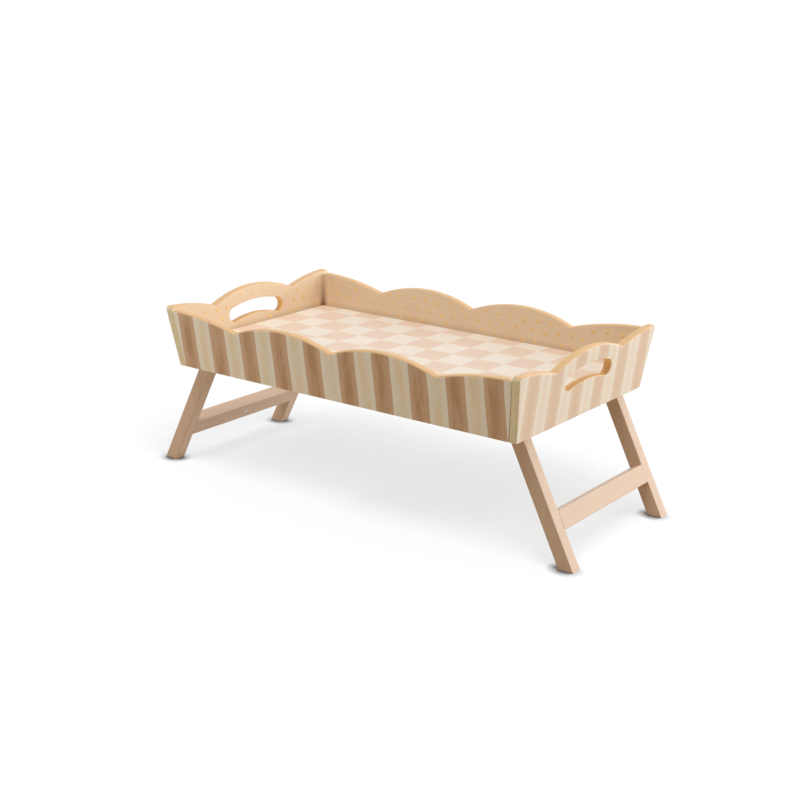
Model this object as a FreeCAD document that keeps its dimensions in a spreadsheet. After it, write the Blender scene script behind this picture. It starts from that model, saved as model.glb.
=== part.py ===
import FreeCAD, Part
import os
import Sketcher

# Bed tray table. Four flared, scalloped boards stand round a floor panel, and a
# leg frame at each end folds inwards about two pivot bolts to lie under the floor.
#
# Frame: origin on the ground below the middle of the tray, +X along the tray to
# the right end, -Y the front, +Z up, millimetres. It is modelled open, on its feet.
#
# Heights of the boards are measured from the boards' bottom edges. The end
# boards cover the ends of the long boards.

# name, size, what it is
SIZES = [
    ("tray_length", 588.0, "over the end boards, at their bottom edges"),
    ("tray_width", 328.0, "over the long boards, at their bottom edges"),
    ("underside_height", 167.0, "bottom edges of the boards, above the ground"),
    ("board_thickness", 12.0, "all four boards"),
    ("end_flare", 7.1, "lean of the end boards, degrees"),
    ("side_flare", 9.7, "lean of the long boards, degrees"),
    ("blank_margin", 6.0, "extra height of a board before its top is sawn"),
    ("end_corner_height", 90.5, "end board at its two corners"),
    ("end_notch_height", 77.0, "end board at the bottom of a notch"),
    ("end_crest_height", 94.5, "end board in the middle"),
    ("end_notch_offset", 88.0, "notches, from the middle of the end board"),
    ("side_corner_height", 85.5, "long board at its two ends"),
    ("side_notch_height", 68.5, "long board at the bottom of a notch"),
    ("side_crest_height", 86.0, "long board at the top of a scallop"),
    ("side_notch_spacing", 175.2, "between two notches of a long board"),
    ("corner_rounding", 5.0, "top corners of the end boards, seen from the end"),
    ("edge_rounding", 2.2, "radius along the visible edges of the boards"),
    ("slot_length", 121.0, "handle slot, tip to tip"),
    ("slot_opening", 22.0, "handle slot, between its two long edges"),
    ("slot_height", 61.5, "middle of the handle slot"),
    ("slot_rounding", 1.6, "radius round the edges of the handle slot"),
    ("floor_thickness", 6.0, "floor panel"),
    ("floor_top_height", 34.5, "upper face of the floor panel"),
    ("groove_depth", 5.0, "grooves that hold the floor panel"),
    ("floor_play", 0.5, "floor panel edge to groove bottom"),
    ("leg_splay", 26.6, "open legs, from upright, degrees"),
    ("leg_width", 20.0, "leg, along the tray"),
    ("leg_depth", 18.0, "leg, across the tray"),
    ("block_depth", 18.8, "pivot block, inwards from a long board's bottom edge"),
    ("leg_easing", 1.0, "radius along the edges of legs and stretchers"),
    ("stretcher_drop", 144.0, "pivot to the middle of the stretcher, along the leg"),
    ("stretcher_width", 26.0, "stretcher, along the leg"),
    ("fold_gap", 1.0, "folded leg to the floor panel"),
    ("stop_gap", 0.3, "open leg to the end board's inner bottom edge"),
    ("cleat_rise", 5.0, "lower face of a stop cleat"),
    ("block_rise", 4.0, "lower face of a pivot block"),
    ("block_inboard", 22.0, "pivot to the block's inner end"),
    ("bolt_diameter", 6.0, "pivot bolt shank"),
    ("bolt_grip", 17.0, "length of bolt inside the pivot block"),
    ("bolt_head_diameter", 11.0, "pivot bolt head"),
    ("bolt_head_height", 3.3, "pivot bolt head"),
    ("bolt_socket", 4.0, "hexagon in the bolt head, across its flats"),
    ("socket_depth", 2.0, "hexagon in the bolt head"),
    ("bolt_clearance", 0.08, "bolt to the bore of the leg, on the radius"),
    ("bolt_end_room", 1.0, "bolt tip to the end of its bore"),
    ("washer_diameter", 16.0, "both kinds of pivot washer"),
    ("washer_clearance", 0.3, "bolt to the washers, on the radius"),
    ("spacer_thickness", 1.5, "washer between leg and block"),
    ("head_washer_thickness", 1.2, "washer under the bolt head"),
    ("insert_diameter", 8.5, "threaded insert in the block"),
    ("insert_length", 13.0, "threaded insert in the block"),
    ("glue_line", 0.05, "dowels and inserts in their holes, on the radius"),
    ("screw_diameter", 3.5, "wood screws"),
    ("screw_head_diameter", 7.0, "wood screws"),
    ("screw_head_height", 2.2, "wood screws"),
    ("screw_recess", 0.4, "screw head below the wood"),
    ("recess_clearance", 0.3, "screw head to its recess, on the radius"),
    ("screw_room", 0.5, "screw tip to the end of its hole"),
    ("block_screw_length", 27.0, "head to tip"),
    ("block_screw_offset", 13.0, "each side of the pivot"),
    ("block_screw_height", 19.0, "above the boards' bottom edges"),
    ("cleat_screw_length", 18.0, "head to tip"),
    ("cleat_screw_spacing", 80.0, "along the cleat"),
    ("cleat_screw_height", 17.0, "above the boards' bottom edges"),
    ("cleat_screw_sink", 2.0, "bevelled face to the screw head, on its axis"),
    ("dowel_diameter", 6.0, "all dowels"),
    ("dowel_room", 0.5, "dowel end to the end of its hole"),
    ("corner_dowel_low", 8.0, "lower dowel of a corner"),
    ("corner_dowel_high", 52.0, "upper dowel of a corner"),
    ("corner_dowel_in_end", 7.0, "length inside the end board"),
    ("corner_dowel_in_side", 22.0, "length inside the long board"),
    ("frame_dowel_spacing", 13.0, "two dowels of a stretcher joint"),
    ("frame_dowel_in_leg", 12.0, "length inside the leg"),
    ("frame_dowel_in_stretcher", 20.0, "length inside the stretcher"),
    ("magnet_diameter", 6.0, "catch magnet"),
    ("magnet_thickness", 4.0, "catch magnet"),
    ("magnet_proud", 0.6, "magnet above the face of the stretcher"),
    ("plate_diameter", 12.0, "catch plate"),
    ("plate_thickness", 1.5, "catch plate, flush with the floor's underside"),
]

# A formula is text over the sheet's cells. Each cell is written as sizes.name.

NOUGHT = "(0 * sizes.tray_length)"
FLOOR_UNDERSIDE = "(sizes.floor_top_height - sizes.floor_thickness)"
PIVOT_HEIGHT = f"({FLOOR_UNDERSIDE} - sizes.fold_gap - sizes.leg_width / 2)"
PIVOT_LEVEL = f"(sizes.underside_height + {PIVOT_HEIGHT})"
BOLT_RADIUS = "(sizes.bolt_diameter / 2)"
DOWEL_RADIUS = "(sizes.dowel_diameter / 2)"
DOWEL_HOLE_RADIUS = f"({DOWEL_RADIUS} + sizes.glue_line)"
SCREW_RADIUS = "(sizes.screw_diameter / 2)"
RECESS_RADIUS = "(sizes.screw_head_diameter / 2 + sizes.recess_clearance)"
SCREW_HOLE_RADIUS = f"({SCREW_RADIUS} + sizes.glue_line)"


def outer_end(height):
    """Outer face of an end board, from the middle of the tray, at a height."""
    return f"(sizes.tray_length / 2 + ({height}) * tan(sizes.end_flare))"


def inner_end(height):
    """Inner face of an end board at a height."""
    return f"({outer_end(height)} - sizes.board_thickness / cos(sizes.end_flare))"


def outer_side(height):
    """Outer face of a long board, from the middle of the tray, at a height."""
    return f"(sizes.tray_width / 2 + ({height}) * tan(sizes.side_flare))"


def inner_side(height):
    """Inner face of a long board at a height."""
    return f"({outer_side(height)} - sizes.board_thickness / cos(sizes.side_flare))"


def level(height):
    """Height above the ground of a height above the boards' bottom edges."""
    return f"(sizes.underside_height + {height})"


def bevel(height):
    """Plane of the open leg's outer face, which is the bevel of the stop cleat."""
    return f"({inner_end('0')} - sizes.stop_gap - ({height}) * tan(sizes.leg_splay))"


BLOCK_FACE = f"({inner_side('0')} - sizes.block_depth)"
LEG_OUTSIDE = f"({BLOCK_FACE} - sizes.spacer_thickness)"
LEG_INSIDE = f"({LEG_OUTSIDE} - sizes.leg_depth)"
PIVOT_X = f"({bevel(PIVOT_HEIGHT)} - sizes.leg_width / 2 / cos(sizes.leg_splay))"
CATCH_X = f"({PIVOT_X} - sizes.stretcher_drop)"
CLEAT_HEAD = f"({bevel('sizes.cleat_screw_height')} + sizes.cleat_screw_sink)"
BLOCK_HEAD = f"({BLOCK_FACE} + sizes.screw_recess)"

ENDS = (("left", -1), ("right", 1))
SIDES = (("front", -1), ("back", 1))
CLEAT_SCREWS = (-1, 0, 1)

document = FreeCAD.newDocument("bed_tray_table")
sizes = document.addObject("Spreadsheet::Sheet", "sizes")
sub_parts = []


def fill_sheet():
    for row, (name, size, meaning) in enumerate(SIZES, start=1):
        sizes.set(f"A{row}", meaning)
        sizes.set(f"B{row}", str(size))
        sizes.setAlias(f"B{row}", name)
    document.recompute()


def value(formula):
    """Number that a formula has now."""
    return float(sizes.evalExpression(formula.replace("sizes.", "")))


def signed(side, formula):
    return formula if side > 0 else f"(-{formula})"


def new_body(label, several=False):
    """A sub-part. With several set, it holds separate solids as one group."""
    body = document.addObject("PartDesign::Body", label)
    body.Label = label
    body.AllowCompound = several
    sub_parts.append(body)
    return body


def origin_plane(body, role):
    for feature in body.Origin.OriginFeatures:
        if feature.Role == role:
            return feature
    raise ValueError(role)


def new_sketch(body, name, role, offset=None):
    """A sketch on an origin plane, moved along +X, +Y or +Z by the offset."""
    sketch = body.newObject("Sketcher::SketchObject", f"{body.Name}_{name}")
    sketch.AttachmentSupport = [(origin_plane(body, role), "")]
    sketch.MapMode = "FlatFace"
    if offset:
        # The normal of the XZ plane points to -Y.
        sign = -1 if role == "XZ_Plane" else 1
        sketch.setExpression("AttachmentOffset.Base.z", signed(sign, offset))
    return sketch


def place_point(sketch, geometry, end, point):
    """Put one end of a line or arc, or its centre, at a pair of formulas."""
    for kind, formula in zip(("DistanceX", "DistanceY"), point):
        number = value(formula)
        index = sketch.addConstraint(
            Sketcher.Constraint(kind, -1, 1, geometry, end, number)
        )
        sketch.setExpression(f"Constraints[{index}]", formula)


def vector(point):
    return FreeCAD.Vector(value(point[0]), value(point[1]), 0)


def draw_polygon(sketch, corners):
    first = sketch.GeometryCount
    count = len(corners)
    for index in range(count):
        start = vector(corners[index])
        end = vector(corners[(index + 1) % count])
        sketch.addGeometry(Part.LineSegment(start, end))
    for index in range(count):
        following = first + (index + 1) % count
        joint = Sketcher.Constraint("Coincident", first + index, 2, following, 1)
        sketch.addConstraint(joint)
    for index in range(count):
        place_point(sketch, first + index, 1, corners[index])


def draw_circle(sketch, centre, radius):
    circle = Part.Circle(vector(centre), FreeCAD.Vector(0, 0, 1), value(radius))
    geometry = sketch.addGeometry(circle)
    index = sketch.addConstraint(
        Sketcher.Constraint("Radius", geometry, value(radius))
    )
    sketch.setExpression(f"Constraints[{index}]", radius)
    place_point(sketch, geometry, 3, centre)


def draw_outline(sketch, corners, centres):
    """A closed outline. Where a centre is given, the next stretch is an arc.

    The arc runs clockwise, so it is a crest of the outline drawn from left to
    right.
    """
    first = sketch.GeometryCount
    count = len(corners)
    for index in range(count):
        start = vector(corners[index])
        end = vector(corners[(index + 1) % count])
        centre = centres.get(index)
        if centre is None:
            sketch.addGeometry(Part.LineSegment(start, end))
        else:
            sketch.addGeometry(crest_arc(start, end, vector(centre)))
    for index in range(count):
        following = first + (index + 1) % count
        own_end = 1 if index in centres else 2
        next_start = 2 if (index + 1) % count in centres else 1
        joint = Sketcher.Constraint(
            "Coincident", first + index, own_end, following, next_start
        )
        sketch.addConstraint(joint)
    for index in range(count):
        end = 2 if index in centres else 1
        place_point(sketch, first + index, end, corners[index])
    for index, centre in centres.items():
        place_centre(sketch, first + index, "DistanceY", centre[1])


def place_centre(sketch, geometry, kind, formula):
    """An arc with both ends placed needs only one coordinate of its centre."""
    index = sketch.addConstraint(
        Sketcher.Constraint(kind, -1, 1, geometry, 3, value(formula))
    )
    sketch.setExpression(f"Constraints[{index}]", formula)


def crest_arc(start, end, centre):
    """Arc from end back to start, which is counterclockwise over a crest."""
    radius = (start - centre).Length
    axis = FreeCAD.Vector(0, 0, 1)
    circle = Part.Circle(centre, axis, radius)
    return Part.ArcOfCircle(circle, circle.parameter(end), circle.parameter(start))


def pad(body, sketch, length):
    """Material on both sides of the sketch, with the length over both."""
    feature = body.newObject("PartDesign::Pad", f"{sketch.Name}_pad")
    feature.Profile = sketch
    feature.SideType = "Symmetric"
    feature.setExpression("Length", length)
    document.recompute()
    return feature


def pocket(body, sketch, length=None):
    """Cut on both sides of the sketch, right through where no length is given."""
    before = body.Shape.Volume
    feature = body.newObject("PartDesign::Pocket", f"{sketch.Name}_pocket")
    feature.Profile = sketch
    feature.SideType = "Symmetric"
    if length:
        feature.setExpression("Length", length)
    else:
        feature.Type = "ThroughAll"
    document.recompute()
    if body.Shape.Volume >= before:
        raise ValueError(f"{feature.Name} cuts nothing")
    return feature


TURNS = {
    "X": FreeCAD.Rotation(FreeCAD.Vector(0, 1, 0), 90),
    "Y": FreeCAD.Rotation(FreeCAD.Vector(1, 0, 0), -90),
    "Z": FreeCAD.Rotation(),
}


def drill(body, name, axis, start, radius, length):
    """A round hole that runs from start along +X, +Y or +Z."""
    before = body.Shape.Volume
    hole = body.newObject("PartDesign::SubtractiveCylinder", f"{body.Name}_{name}")
    hole.Placement = FreeCAD.Placement(FreeCAD.Vector(), TURNS[axis])
    for coordinate, formula in zip("xyz", start):
        hole.setExpression(f"Placement.Base.{coordinate}", formula)
    hole.setExpression("Radius", radius)
    hole.setExpression("Height", length)
    document.recompute()
    if body.Shape.Volume >= before:
        raise ValueError(f"{hole.Name} cuts nothing")
    return hole


def mirror(body, features, role):
    """Copies of the features on the other side of an origin plane."""
    copies = []
    for feature in features:
        copy = body.newObject("PartDesign::Mirrored", f"{feature.Name}_mirrored")
        copy.Originals = [feature]
        copy.MirrorPlane = (origin_plane(body, role), [""])
        body.Tip = copy
        document.recompute()
        copies.append(copy)
    return copies


def round_edges(body, name, wanted, radius):
    """Round each edge of the body so far for which wanted is true."""
    base = body.Tip
    names = []
    for number, edge in enumerate(base.Shape.Edges, start=1):
        if wanted(edge):
            names.append(f"Edge{number}")
    fillet = body.newObject("PartDesign::Fillet", f"{body.Name}_{name}")
    fillet.Base = (base, names)
    fillet.setExpression("Radius", radius)
    document.recompute()
    return fillet


def run(side, near, far):
    """Start along an axis of a stretch from near to far, on either side of 0."""
    return near if side > 0 else f"(-{far})"


# ---- Boards ----


def waste_frame(across, bottom, top):
    """Rectangle outside a board's outline: what lies between them is sawn off."""
    return [
        (f"(-{across})", bottom),
        (f"(-{across})", top),
        (across, top),
        (across, bottom),
    ]


def arc_drop(half_width, rise):
    """Radius of an arc that rises by rise over half of its width."""
    return f"((({half_width}) ^ 2 + ({rise}) ^ 2) / 2 / ({rise}))"


def long_board(label, side):
    """A long board: side is -1 at the front and 1 at the back."""
    body = new_body(label)
    blank = "(sizes.side_crest_height + sizes.blank_margin)"
    section = new_sketch(body, "section", "YZ_Plane")
    draw_polygon(section, [
        (signed(side, outer_side("0")), level("0")),
        (signed(side, inner_side("0")), level("0")),
        (signed(side, inner_side(blank)), level(blank)),
        (signed(side, outer_side(blank)), level(blank)),
    ])
    pad(body, section, f"2 * {outer_end(blank)}")
    saw_long_outline(body, blank)
    round_long_tops(body)
    groove = new_sketch(body, "groove", "YZ_Plane")
    draw_polygon(groove, groove_corners(side, inner_side))
    pocket(body, groove)
    for end_name, end in ENDS:
        for name, height in corner_dowel_heights():
            near = f"({inner_end(height)} - sizes.corner_dowel_in_side - sizes.dowel_room)"
            far = f"({inner_end(height)} + sizes.board_thickness)"
            drill(
                body, f"{end_name}_{name}_dowel_hole", "X",
                (run(end, near, far), signed(side, dowel_line(height)), level(height)),
                DOWEL_HOLE_RADIUS,
                f"{far} - {near}",
            )
        drill_block_screw_tips(body, end_name, end, side)
    return body


def saw_long_outline(body, blank):
    """Saw the scallops, and the sloping ends that meet the end boards."""
    corner = "sizes.side_corner_height"
    notch = "sizes.side_notch_height"
    spacing = "sizes.side_notch_spacing"
    end = inner_end(corner)
    crest_rise = "(sizes.side_crest_height - sizes.side_notch_height)"
    corner_rise = "(sizes.side_corner_height - sizes.side_notch_height)"
    crest_radius = arc_drop(f"{spacing} / 2", crest_rise)
    corner_radius = arc_drop(f"{end} - {spacing}", corner_rise)
    crest_centre = level(f"sizes.side_crest_height - {crest_radius}")
    corner_centre = level(f"{corner} - {corner_radius}")
    corners = [
        (f"(-{inner_end('0')})", level("0")),
        (f"(-{end})", level(corner)),
        (f"(-{spacing})", level(notch)),
        (NOUGHT, level(notch)),
        (spacing, level(notch)),
        (end, level(corner)),
        (inner_end("0"), level("0")),
    ]
    centres = {
        1: (f"(-{end})", corner_centre),
        2: (f"(-{spacing} / 2)", crest_centre),
        3: (f"({spacing} / 2)", crest_centre),
        4: (end, corner_centre),
    }
    outline = new_sketch(body, "outline", "XZ_Plane")
    draw_polygon(outline, waste_frame(
        f"({outer_end(blank)} + sizes.blank_margin)",
        level("(-sizes.blank_margin)"),
        level(f"{blank} + sizes.blank_margin"),
    ))
    draw_outline(outline, corners, centres)
    pocket(body, outline)


def end_board(label, end):
    """An end board: end is -1 on the left and 1 on the right."""
    body = new_body(label)
    blank = "(sizes.end_crest_height + sizes.blank_margin)"
    section = new_sketch(body, "section", "XZ_Plane")
    draw_polygon(section, [
        (signed(end, outer_end("0")), level("0")),
        (signed(end, inner_end("0")), level("0")),
        (signed(end, inner_end(blank)), level(blank)),
        (signed(end, outer_end(blank)), level(blank)),
    ])
    pad(body, section, f"2 * {outer_side(blank)}")
    saw_end_outline(body, blank)
    round_end_outline(body)
    cut_slot(body)
    groove = new_sketch(body, "groove", "XZ_Plane")
    draw_polygon(groove, groove_corners(end, inner_end))
    pocket(body, groove, f"2 * ({inner_side(FLOOR_UNDERSIDE)} + sizes.groove_depth)")
    depth = "sizes.corner_dowel_in_end + sizes.dowel_room"
    for side_name, side in SIDES:
        for name, height in corner_dowel_heights():
            near = f"({inner_end(height)} - sizes.board_thickness)"
            far = f"({inner_end(height)} + {depth})"
            drill(
                body, f"{side_name}_{name}_dowel_hole", "X",
                (run(end, near, far), signed(side, dowel_line(height)), level(height)),
                DOWEL_HOLE_RADIUS,
                f"{far} - {near}",
            )
    drill_cleat_screws(body, end)
    return body


def saw_end_outline(body, blank):
    """Saw the two half scallops, the crest and the sloping ends."""
    corner = "sizes.end_corner_height"
    notch = "sizes.end_notch_height"
    offset = "sizes.end_notch_offset"
    end = outer_side(corner)
    corner_radius = arc_drop(f"{end} - {offset}",
                             "sizes.end_corner_height - sizes.end_notch_height")
    corner_centre = level(f"{corner} - {corner_radius}")
    corners = [
        (f"(-{outer_side('0')})", level("0")),
        (f"(-{end})", level(corner)),
        (f"(-{offset})", level(notch)),
        (offset, level(notch)),
        (end, level(corner)),
        (outer_side("0"), level("0")),
    ]
    centres = {
        1: (f"(-{end})", corner_centre),
        2: (NOUGHT, crest_centre_level()),
        3: (end, corner_centre),
    }
    outline = new_sketch(body, "outline", "YZ_Plane")
    draw_polygon(outline, waste_frame(
        f"({outer_side(blank)} + sizes.blank_margin)",
        level("(-sizes.blank_margin)"),
        level(f"{blank} + sizes.blank_margin"),
    ))
    draw_outline(outline, corners, centres)
    pocket(body, outline)


def crest_centre_level():
    """Level of the point that the crest and the handle slot both curve about."""
    rise = "sizes.end_crest_height - sizes.end_notch_height"
    radius = arc_drop("sizes.end_notch_offset", rise)
    return level(f"sizes.end_crest_height - {radius}")


def cut_slot(body):
    """The handle slot: a bent slot with round ends, which follows the crest."""
    centre = crest_centre_level()
    middle = f"({level('sizes.slot_height')} - {centre})"
    half = "(sizes.slot_opening / 2)"
    turn = f"asin((sizes.slot_length / 2 - {half}) / {middle})"
    sketch = new_sketch(body, "slot", "YZ_Plane")
    corners = []
    for side, radius in ((-1, f"({middle} + {half})"), (1, f"({middle} + {half})"),
                         (1, f"({middle} - {half})"), (-1, f"({middle} - {half})")):
        corners.append((
            signed(side, f"({radius} * sin({turn}))"),
            f"({centre} + {radius} * cos({turn}))",
        ))
    origin = FreeCAD.Vector(0, value(centre), 0)
    points = [vector(corner) for corner in corners]
    sketch.addGeometry(crest_arc(points[0], points[1], origin))
    sketch.addGeometry(end_arc(points[1], points[2]))
    sketch.addGeometry(crest_arc(points[3], points[2], origin))
    sketch.addGeometry(end_arc(points[3], points[0]))
    for joint in ((0, 1, 1, 2), (1, 1, 2, 1), (2, 2, 3, 2), (3, 1, 0, 2)):
        sketch.addConstraint(Sketcher.Constraint("Coincident", *joint))
    place_point(sketch, 0, 2, corners[0])
    place_point(sketch, 0, 1, corners[1])
    place_point(sketch, 2, 1, corners[2])
    place_point(sketch, 2, 2, corners[3])
    for geometry in (0, 2):
        place_centre(sketch, geometry, "DistanceY", centre)
    for side, geometry in ((1, 1), (-1, 3)):
        across = signed(side, f"({middle} * sin({turn}))")
        place_centre(sketch, geometry, "DistanceX", across)
    pocket(body, sketch)
    low = value(level("sizes.floor_top_height"))
    high = value(level("sizes.slot_height + sizes.slot_opening / 2 + 1"))
    reach = value("sizes.slot_length / 2 + 1")

    def on_slot(edge):
        box = edge.BoundBox
        inside = low < box.ZMin and box.ZMax < high
        return inside and -reach < box.YMin and box.YMax < reach and box.YLength > 1

    round_edges(body, "slot_edges", on_slot, "sizes.slot_rounding")


def end_arc(start, end):
    """Half circle, clockwise from start to end."""
    centre = (start + end) * 0.5
    radius = (start - centre).Length
    circle = Part.Circle(centre, FreeCAD.Vector(0, 0, 1), radius)
    return Part.ArcOfCircle(circle, circle.parameter(end), circle.parameter(start))


def round_long_tops(body):
    """Round the scalloped edges of a long board, which stop at the end boards."""
    floor = value(level("sizes.side_notch_height")) - value("sizes.edge_rounding")

    def on_top(edge):
        box = edge.BoundBox
        return box.ZMin > floor and box.XLength > 2 * box.YLength

    round_edges(body, "top_edges", on_top, "sizes.edge_rounding")


def round_end_outline(body):
    """Round an end board's top corners, then all its edges above the bottom."""
    bottom = value(level("0")) + 1
    thickness = value("sizes.board_thickness / cos(sizes.end_flare)")
    corner = value(outer_side("sizes.end_corner_height"))

    def across_corner(edge):
        box = edge.BoundBox
        across = abs(box.XLength - thickness) < 0.01
        return across and min(abs(box.YMin), abs(box.YMax)) > corner - 0.01

    def on_outline(edge):
        box = edge.BoundBox
        return box.ZMax > bottom and max(box.YLength, box.ZLength) > 2 * box.XLength

    round_edges(body, "corners", across_corner, "sizes.corner_rounding")
    round_edges(body, "outline_edges", on_outline, "sizes.edge_rounding")


def groove_corners(side, inner_face):
    """Section of the floor's groove, from inside the tray to its bottom."""
    low = FLOOR_UNDERSIDE
    high = "sizes.floor_top_height"
    return [
        (signed(side, f"({inner_face(low)} - sizes.groove_depth)"), level(low)),
        (signed(side, f"({inner_face(low)} + sizes.groove_depth)"), level(low)),
        (signed(side, f"({inner_face(high)} + sizes.groove_depth)"), level(high)),
        (signed(side, f"({inner_face(high)} - sizes.groove_depth)"), level(high)),
    ]


def corner_dowel_heights():
    return [("low", "sizes.corner_dowel_low"), ("high", "sizes.corner_dowel_high")]


def dowel_line(height):
    """Middle of a long board's thickness, where its dowels lie."""
    return f"(({outer_side(height)} + {inner_side(height)}) / 2)"


def block_screw_places():
    """X of the two screws of a right-hand pivot block."""
    return [
        ("inboard", f"({PIVOT_X} - sizes.block_screw_offset)"),
        ("outboard", f"({PIVOT_X} + sizes.block_screw_offset)"),
    ]


def drill_block_screw_tips(body, end_name, end, side):
    """Blind holes in a long board for the tips of one block's screws."""
    height = "sizes.block_screw_height"
    near = f"({inner_side(height)} - sizes.board_thickness)"
    far = f"({BLOCK_HEAD} + sizes.block_screw_length + sizes.screw_room)"
    for name, place in block_screw_places():
        drill(
            body, f"{end_name}_{name}_screw_hole", "Y",
            (signed(end, place), run(side, near, far), level(height)),
            SCREW_HOLE_RADIUS,
            f"{far} - {near}",
        )


def cleat_screw_line(number):
    """Y and level of one of the three screws of a stop cleat."""
    return f"({number} * sizes.cleat_screw_spacing)", level("sizes.cleat_screw_height")


def drill_cleat_screws(body, end):
    """Three holes along X for the screws of a stop cleat."""
    near = CLEAT_HEAD
    far = f"({CLEAT_HEAD} + sizes.cleat_screw_length + sizes.screw_room)"
    for number in CLEAT_SCREWS:
        drill(
            body, f"screw_hole_{number + 2}", "X",
            (run(end, near, far), *cleat_screw_line(number)),
            SCREW_HOLE_RADIUS,
            f"{far} - {near}",
        )


# ---- Floor, cleats and blocks ----


def tray_floor():
    """The floor panel, held in the four grooves, with two catch plate recesses."""
    body = new_body("tray_floor")
    half_length = f"({inner_end(FLOOR_UNDERSIDE)} + sizes.groove_depth - sizes.floor_play)"
    half_width = f"({inner_side(FLOOR_UNDERSIDE)} + sizes.groove_depth - sizes.floor_play)"
    middle = level(f"({FLOOR_UNDERSIDE} + sizes.floor_thickness / 2)")
    sketch = new_sketch(body, "panel", "XY_Plane", middle)
    draw_polygon(sketch, [
        (f"(-{half_length})", f"(-{half_width})"),
        (half_length, f"(-{half_width})"),
        (half_length, half_width),
        (f"(-{half_length})", half_width),
    ])
    pad(body, sketch, "sizes.floor_thickness")
    below = level(f"({FLOOR_UNDERSIDE} - sizes.fold_gap)")
    for end_name, end in ENDS:
        drill(
            body, f"{end_name}_plate_recess", "Z",
            (signed(end, CATCH_X), NOUGHT, below),
            "sizes.plate_diameter / 2 + sizes.glue_line",
            "sizes.fold_gap + sizes.plate_thickness",
        )
    return body


def stop_cleat(label, end):
    """Cleat in the corner of floor and end board. The open legs lean on its bevel."""
    body = new_body(label)
    low = "sizes.cleat_rise"
    high = FLOOR_UNDERSIDE
    section = new_sketch(body, "section", "XZ_Plane")
    draw_polygon(section, [
        (signed(end, bevel(low)), level(low)),
        (signed(end, inner_end(low)), level(low)),
        (signed(end, inner_end(high)), level(high)),
        (signed(end, bevel(high)), level(high)),
    ])
    pad(body, section, f"2 * {BLOCK_FACE}")
    drill_cleat_screws(body, end)
    near = f"({CLEAT_HEAD} - sizes.leg_width)"
    far = f"({CLEAT_HEAD} + sizes.screw_head_height)"
    for number in CLEAT_SCREWS:
        drill(
            body, f"head_recess_{number + 2}", "X",
            (run(end, near, far), *cleat_screw_line(number)),
            RECESS_RADIUS,
            f"{far} - {near}",
        )
    return body


def pivot_block(label, end, side):
    """Corner block under the floor: end is -1 left or 1 right, side -1 front."""
    body = new_body(label)
    low = "sizes.block_rise"
    high = FLOOR_UNDERSIDE
    inboard = f"({PIVOT_X} - sizes.block_inboard)"
    outer = outer_side(high)
    plan = new_sketch(body, "plan", "XZ_Plane",
                      signed(side, f"(({BLOCK_FACE} + {outer}) / 2)"))
    draw_polygon(plan, [
        (signed(end, inboard), level(low)),
        (signed(end, inner_end(low)), level(low)),
        (signed(end, inner_end(high)), level(high)),
        (signed(end, inboard), level(high)),
    ])
    pad(body, plan, f"{outer} - {BLOCK_FACE}")
    slope = new_sketch(body, "slope", "YZ_Plane")
    draw_polygon(slope, [
        (signed(side, inner_side("0")), level("0")),
        (signed(side, f"({outer} + sizes.board_thickness)"), level("0")),
        (signed(side, f"({outer} + sizes.board_thickness)"),
         level(f"({high} + sizes.floor_thickness)")),
        (signed(side, inner_side(f"{high} + sizes.floor_thickness")),
         level(f"({high} + sizes.floor_thickness)")),
    ])
    pocket(body, slope)
    drill_block(body, end, side)
    return body


def drill_block(body, end, side):
    """Insert hole, bolt hole, screw holes and head recesses, along Y."""
    insert_end = f"({BLOCK_FACE} + sizes.insert_length)"
    bolt_end = f"({BLOCK_FACE} + sizes.bolt_grip + sizes.bolt_end_room)"
    centre = signed(end, PIVOT_X)
    near = f"({BLOCK_FACE} - sizes.spacer_thickness)"
    drill(body, "insert_hole", "Y",
          (centre, run(side, near, insert_end), PIVOT_LEVEL),
          "sizes.insert_diameter / 2 + sizes.glue_line",
          f"{insert_end} - {near}")
    drill(body, "bolt_hole", "Y",
          (centre, run(side, near, bolt_end), PIVOT_LEVEL),
          f"{BOLT_RADIUS} + sizes.washer_clearance",
          f"{bolt_end} - {near}")
    through = f"({BLOCK_FACE} + sizes.block_screw_length)"
    seat = f"({BLOCK_HEAD} + sizes.screw_head_height)"
    for name, place in block_screw_places():
        drill(body, f"{name}_screw_hole", "Y",
              (signed(end, place), run(side, near, through),
               level("sizes.block_screw_height")),
              SCREW_HOLE_RADIUS,
              f"{through} - {near}")
        drill(body, f"{name}_head_recess", "Y",
              (signed(end, place), run(side, near, seat),
               level("sizes.block_screw_height")),
              RECESS_RADIUS,
              f"{seat} - {near}")


# ---- Fasteners of the tray ----


def round_group(label, role, runs, places, mirror_role):
    """Round pieces on parallel axes, as one group of separate solids.

    runs lists (name, near, far, radius, bore radius or None) along the axis, and
    places lists the axes' positions on the plane.
    """
    body = new_body(label, several=True)
    features = []
    for name, near, far, radius, bore in runs:
        sketch = new_sketch(body, name, role, f"(({near} + {far}) / 2)")
        for place in places:
            draw_circle(sketch, place, radius)
            if bore:
                draw_circle(sketch, place, bore)
        features.append(pad(body, sketch, f"{far} - {near}"))
    mirror(body, features, mirror_role)
    return body


def corner_dowels():
    body = new_body("corner_dowels", several=True)
    features = []
    for name, height in corner_dowel_heights():
        near = f"({inner_end(height)} - sizes.corner_dowel_in_side)"
        far = f"({inner_end(height)} + sizes.corner_dowel_in_end)"
        sketch = new_sketch(body, name, "YZ_Plane", f"(({near} + {far}) / 2)")
        for side in (-1, 1):
            centre = (signed(side, dowel_line(height)), level(height))
            draw_circle(sketch, centre, DOWEL_RADIUS)
        features.append(pad(body, sketch, f"{far} - {near}"))
    mirror(body, features, "YZ_Plane")
    return body


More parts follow.
